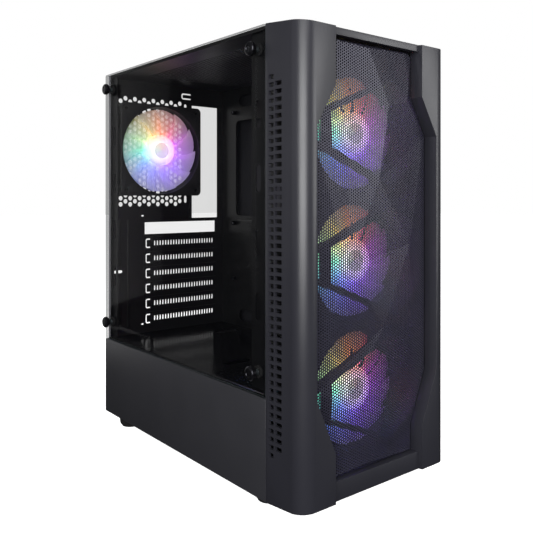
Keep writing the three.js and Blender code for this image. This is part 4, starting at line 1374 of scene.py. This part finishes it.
    def build(self, frame_node: str, rotor_node: str, frame_body: str) -> None:
        """Publish the fan.

        Args:
            frame_node: The frame's node.
            rotor_node: The rotor's node.
            frame_body: The body that the frame rides on.
        """
        glow = LitBlades(f"frosted_polycarbonate_{self.place}", "#d9dbe6", 0.45,
                         centre=self.centre, power=self.power)
        publish(f"{self.place}_fan_housing", self.housing(), frame_body, "fan_plastic", FAN_PBT,
                frame_node)
        publish(f"{self.place}_lit_blades", self.rotor(), self.body, "lit_fan", glow, rotor_node)
        veiled = LitBlades(f"veiled_hub_cap_{self.place}", "#8f9096", 0.45, centre=self.centre,
                           power=self.core * self.power)
        publish(f"{self.place}_hub_cap", self.cap(), self.body, "lit_fan", veiled, rotor_node)


@dataclass
class TopFittings:
    """The dust filter on the roof and the module with buttons, sockets and jacks."""

    y: float = -309.0
    usb: dict[str, float] = field(default_factory=lambda: {
        "usb2_port_left": 89, "usb2_port_right": 105, "usb3_port": 121})
    jacks: dict[str, float] = field(default_factory=lambda: {"headphone_jack": 135,
                                                             "microphone_jack": 147})

    def dust_filter(self) -> bpy.types.Mesh:
        """Frame a fine screen with two cross bars."""
        outer = rounded(rect(28, -288, 172, -38), 6, 6)
        panes = [rounded(rect(34, y, 166, y + 75), 3, 3) for y in (-282, -200.5, -119)]
        edge = softened(plate([outer, *panes], 1.35, place=Plane.ROOF.at(448.1)), 0.3, 2)
        screens = []
        for pane in panes:
            middle = (100, sum(v for _, v in pane) / len(pane))
            weave = Holes(middle, (130, 72), (2.6, 3.0), (2.1, 2.1), sides=4)
            screens.append(plate([inset(pane, -0.5)], 0.35, [weave], Plane.ROOF.at(448.5)))
        return joined([edge, *screens])

    def build(self) -> None:
        """Publish the top pieces."""
        publish("screened_top_filter", self.dust_filter(), "top_filter", "filter_mesh", NYLON_MESH,
                "top_dust_filter")
        publish("socket_module", node_copy("io_module_housing", 0.3, 2), "chassis", "black_plastic",
                MOULDED_ABS, "io_module_housing")
        buttons = (("power_button", "power_key", 58, 7.5, 442, 450.2),
                   ("reset_button", "reset_key", 74, 3.0, 443, 449.8))
        for node, body, x, r, low, top in buttons:
            cap = lathe([(0, low), (r, low), (r, top - 0.9), (r - 0.3, top - 0.3), (r - 0.9, top),
                         (r * 0.72, top), (r * 0.4, top - 0.35), (0, top - 0.5)], 48)
            publish(f"dished_{node}", moved(cap, Matrix.Translation((x, self.y, 0))), body,
                    "black_plastic", MOULDED_BEZEL, node)
        for node, x in self.usb.items():
            blue = node == "usb3_port"
            shell = node_copy(node, 0.08, 1)
            for face in shell.polygons:
                inner = abs(face.center.x - x) < 5.9 and -309.2 < face.center.y < -307
                face.material_index = int(inner and face.center.z > 436.5)
            publish(f"stamped_{node}", shell, "chassis", "usb3_port" if blue else "port_metal",
                    NICKEL, node, second=USB3_BLUE if blue else MOULDED_ABS)
        for node, x in self.jacks.items():
            barrel = lathe([(0, 436), (3.6, 436), (3.6, 448.9), (3.3, 449.2), (2.1, 449.2),
                            (1.8, 448.9), (1.8, 438), (0, 438)], 40)
            publish(f"ringed_{node}", moved(barrel, Matrix.Translation((x, self.y, 0))), "chassis",
                    "black_plastic", MOULDED_ABS, node)


@dataclass
class Underside:
    """Feet, power supply, drive cage, trays and the filter below the supply."""

    feet: dict[str, Point2] = field(default_factory=lambda: {
        "front_left": (30, -300), "front_right": (170, -300), "rear_left": (23, -26),
        "rear_right": (177, -26)})
    supply: tuple[Span, Span, Span] = ((22, 172), (-141.5, -1.5), (21.5, 107.5))
    supply_fan: Point2 = (97, -75)

    def foot(self) -> bpy.types.Mesh:
        """Turn one foot: a flared plastic cup over a rubber pad."""
        profile = [(0, 0), (10.2, 0), (11.2, 0.3), (11.5, 1.0), (11.6, 2.6), (12.2, 3.0),
                   (13.0, 3.1), (13.4, 3.6), (14.2, 9), (14.8, 14.6), (14.9, 15.8), (14.4, 16.3),
                   (0, 16.3)]
        return lathe(profile, 56)

    def supply_box(self) -> bpy.types.Mesh:
        """Fold the supply's box and pierce its exhaust round the inlet and the switch."""
        (x0, x1), (y0, y1), (z0, z1) = self.supply
        box = combined(node_copy("psu_case"), [block((x0 - 1, x1 + 1), (y1 - 1.25, y1 + 1),
                                                     (z0 - 1, z1 + 1))])
        back = rounded(rect(x0, z0, x1, z1), 1.5)
        cuts = [rounded(rect(33.6, 33.6, 62.4, 54.4), 1), rounded(rect(75.6, 33.3, 88.4, 54.7), 1)]
        vents = [Holes((121, 61), (86, 64), (5.2, 6), (5.0, 5.0), sides=6),
                 Holes((58, 80), (48, 26), (5.2, 6), (5.0, 5.0), sides=6)]
        panel = plate([back, *cuts], 1.2, vents, Plane.FRONT.at(-y1))
        screws = repeated(moved(lathe([(0, 0), (3.2, 0), (3.0, 0.7), (2.2, 1.15), (0, 1.2)], 20),
                                Matrix.Rotation(-math.pi / 2, 4, "X")),
                          [(x, y1, z) for x, z in ((28, 28), (166, 28), (28, 101), (166, 101))])
        return joined([softened(box, 0.4, 2), panel, screws])

    def wire_grille(self) -> bpy.types.Mesh:
        """Bend the wire guard under the supply's fan: six rings on four spokes."""
        rings = []
        for r in range(8, 60, 9):
            bends = []
            for i in range(64):
                out = Vector((*circle(0, 0, 1, 64)[i], 0))
                bends.append([out * (r + u) + Vector((0, 0, v)) for u, v in circle(0, 0, 0.8, 6)])
            rings.append(lofted(bends, closed=True))
        spoke = block((5, 63), (-0.9, 0.9), (0.2, 1.8), 0.5, 1)
        spokes = repeated(spoke, [(0, 0, 0)], 4, turn=90)
        return joined([*rings, spokes], Matrix.Translation((*self.supply_fan, 20.3)))

    def filter_pan(self) -> bpy.types.Mesh:
        """Frame the screen that slides out under the supply, with its grip."""
        outer = rounded(rect(42, -172, 158, -4), 4, 5)
        panes = [rounded(rect(x, -166, x + 50, -12), 3, 3) for x in (47, 103)]
        edge = softened(plate([outer, *panes], 2.4, place=Plane.ROOF.at(13.4)), 0.4, 2)
        screens = [plate([inset(pane, -0.5)], 0.4,
                         [Holes((x + 25, -89), (48, 151), (2.6, 3.0), (2.1, 2.1), sides=4)],
                         Plane.ROOF.at(14.2)) for pane, x in zip(panes, (47, 103))]
        grip = block((80, 120), (-6, -0.5), (12.4, 15.8), 0.8, 3)
        return joined([edge, grip, *screens])

    def fan(self) -> bpy.types.Mesh:
        """Set seven plain blades round the supply fan's hub."""
        source = Fan("supply", (0, 0), 0, "psu_rotor", blades=7, hub=20, tip=56)
        hub = lathe([(0, 0.2), (19, 0.2), (20, 1.2), (20, 18.8), (19, 19.8), (0, 19.8)], 48)
        vanes = repeated(source.blade(), [(0, 0, 0)], 7, turn=360 / 7)
        return joined([hub, vanes], Matrix.Translation((*self.supply_fan, 24)))

    def build(self) -> None:
        """Publish the lower pieces."""
        for place, (x, y) in self.feet.items():
            publish(f"turned_foot_{place}", moved(self.foot(), Matrix.Translation((x, y, 0))),
                    "chassis", "rubber", RUBBER, f"foot_{place}")
        publish("supply_box", self.supply_box(), "chassis", "psu_steel", SUPPLY_STEEL, "psu_case")
        publish("supply_wire_guard", self.wire_grille(), "chassis", "psu_steel", NICKEL, "psu_case")
        publish("supply_fan_blades", self.fan(), "psu_rotor", "psu_fan", FAN_PBT, "psu_fan_rotor")
        simple = (("psu_inlet", "chassis", "black_plastic", MOULDED_ABS, 0.25),
                  ("psu_switch", "psu_rocker", "black_plastic", MOULDED_BEZEL, 0.4),
                  ("drive_cage", "chassis", "black_steel", POWDER_STEEL_PAINTED_SHADE, 0.3),
                  ("drive_tray_upper", "tray_upper", "black_plastic", MOULDED_ABS, 0.5),
                  ("drive_tray_lower", "tray_lower", "black_plastic", MOULDED_ABS, 0.5),
                  ("fan_hub", "chassis", "black_plastic", MOULDED_ABS, 0.5),
                  ("ssd_bracket", "chassis", "black_steel", POWDER_STEEL_PAINTED_SHADE, 0.3))
        for node, body, slot, finish, edge in simple:
            publish(f"edged_{node}", node_copy(node, edge, 2), body, slot, finish, node)
        publish("screened_supply_filter", self.filter_pan(), "bottom_filter", "filter_mesh",
                NYLON_MESH, "psu_dust_filter")


@dataclass
class Studio:
    """A pale floor, soft lamps and the camera, placed in the case's drawing frame."""

    camera: tuple[float, float, float] = (-373.3, -799.0, 293.05)
    turn: float = -38.71
    lens: float = 44.71
    shift: float = -0.1317
    sky: float = 0.1
    # Name, place, what it faces, width and height, watts.
    lamps: Sequence[tuple] = (
        ("front_right_bank", (1045, -1550, 620), (100, -380, 300), (800, 1000), 11),
        ("left_strip", (-860, -1210, 520), (0, -381, 300), (1000, 900), 26),
        ("near_top_bank", (-150, -1150, 1150), (60, -380, 430), (420, 420), 2),
        ("side_bank", (-1500, 300, 700), (0, -170, 220), (900, 1000), 1.2),
        ("backdrop", (100, 620, 300), (100, 0, 250), (1000, 900), 2),
        ("top_bank", (100, -200, 1700), (100, -200, 300), (1400, 1400), 3))

    def place_camera(self) -> None:
        """Stand the camera in front of the glass side, level, with its shift."""
        data = bpy.data.cameras.new("view")
        data.lens = self.lens
        data.sensor_width = 36
        data.shift_y = self.shift
        data.clip_start = 0.01
        holder = bpy.data.objects.new("view", data)
        holder.location = TO_FRAME @ Vector(self.camera)
        holder.rotation_euler = (math.pi / 2, 0, math.radians(self.turn))
        bpy.context.scene.collection.objects.link(holder)
        bpy.context.scene.camera = holder

    def lamp(self, name: str, at: Sequence[float], to: Sequence[float], size: Point2,
             power: float, seen: bool = True) -> None:
        """Hang one rectangular soft lamp.

        Args:
            name: The lamp's name.
            at: Where it hangs.
            to: The point that it faces.
            size: Its width and height.
            power: Its power in watts.
            seen: Whether the camera can see its face.
        """
        data = bpy.data.lights.new(name, "AREA")
        data.shape = "RECTANGLE"
        data.size, data.size_y = (side * MM for side in size)
        data.energy = power
        holder = bpy.data.objects.new(name, data)
        holder.visible_camera = seen
        start, end = TO_FRAME @ Vector(at), TO_FRAME @ Vector(to)
        holder.location = start
        holder.rotation_euler = (end - start).to_track_quat("-Z", "Y").to_euler()
        bpy.context.scene.collection.objects.link(holder)

    def floor(self) -> None:
        """Lay the pale floor, which dark flags keep out of the reflections."""
        data = block((-9000, 9000), (-9000, 9000), (-4, -0.05))
        data.transform(TO_FRAME)
        paper = Finish("matt_white_paper", "#f4f4f4", 0.9, grain=2.0, relief=0.02, drift=0.01)
        skin = paper.material()
        tree = skin.node_tree
        shader = next(node for node in tree.nodes if node.type == "BSDF_PRINCIPLED")
        shader.inputs["Emission Color"].default_value = (1.0, 1.0, 1.0, 1.0)
        shader.inputs["Emission Strength"].default_value = 0.95
        dark = add_node(tree, "ShaderNodeBsdfDiffuse", {"Color": linear("#2c2c2e")})
        path = add_node(tree, "ShaderNodeLightPath").outputs
        unseen = add_node(tree, "ShaderNodeMath", {0: 1.0, 1: path["Is Camera Ray"]},
                          operation="SUBTRACT")
        mixed = add_node(tree, "ShaderNodeMixShader", {0: unseen.outputs[0], 1: shader.outputs[0],
                                                       2: dark.outputs[0]})
        output = next(node for node in tree.nodes if node.type == "OUTPUT_MATERIAL")
        tree.links.new(mixed.outputs[0], output.inputs[0])
        data.materials.append(skin)
        mesh_object("floor", data)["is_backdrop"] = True

    def sky_light(self) -> None:
        """Make what the eye sees beyond the floor white, and what lights the scene dimmer."""
        world = bpy.data.worlds.new("white_room")
        world.use_nodes = True
        tree = world.node_tree
        tree.nodes.clear()
        path = add_node(tree, "ShaderNodeLightPath")
        open_air = add_node(tree, "ShaderNodeMath", {
            0: path.outputs["Is Diffuse Ray"], 1: 0.2, 2: path.outputs["Is Camera Ray"]},
            operation="MULTIPLY_ADD")
        strength = add_node(tree, "ShaderNodeMapRange", {0: open_air.outputs[0], "To Min": self.sky,
                                                         "To Max": 1.0})
        room = add_node(tree, "ShaderNodeBackground", {"Strength": strength.outputs[0],
                                                       "Color": (1.0, 1.0, 1.0, 1.0)})
        add_node(tree, "ShaderNodeOutputWorld", {"Surface": room.outputs[0]})
        bpy.context.scene.world = world

    def build(self) -> None:
        """Set up the studio."""
        self.place_camera()
        self.floor()
        self.sky_light()
        for name, *where, power in self.lamps:
            self.lamp(name, *where, power, seen=name != "backdrop")
        bpy.context.scene.view_settings.view_transform = "Standard"


def main() -> None:
    """Build every sub-assembly in order."""
    logging.basicConfig(level=logging.INFO, format="%(message)s")
    Studio().build()
    chassis = Chassis()
    chassis.build()
    SidePanels().build()
    FrontCover().build()
    for place, z in zip(("top", "middle", "bottom"), chassis.fan_z):
        fan = Fan(place, (chassis.middle, z), chassis.front_fan_back, f"rotor_{place}")
        fan.build(f"front_fan_frame_{place}", f"front_fan_rotor_{place}", "chassis")
    rear = Fan("rear", chassis.rear_fan, chassis.rear_fan_back, "rotor_rear", power=2.2, core=0.2)
    rear.build("rear_fan_frame", "rear_fan_rotor", "chassis")
    TopFittings().build()
    Underside().build()
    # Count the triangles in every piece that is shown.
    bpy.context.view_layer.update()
    total = sum(len(piece.data.loop_triangles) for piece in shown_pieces() if piece.type == "MESH")
    log.info("triangles in all: %d", total)


if __name__ == "__main__":
    main()
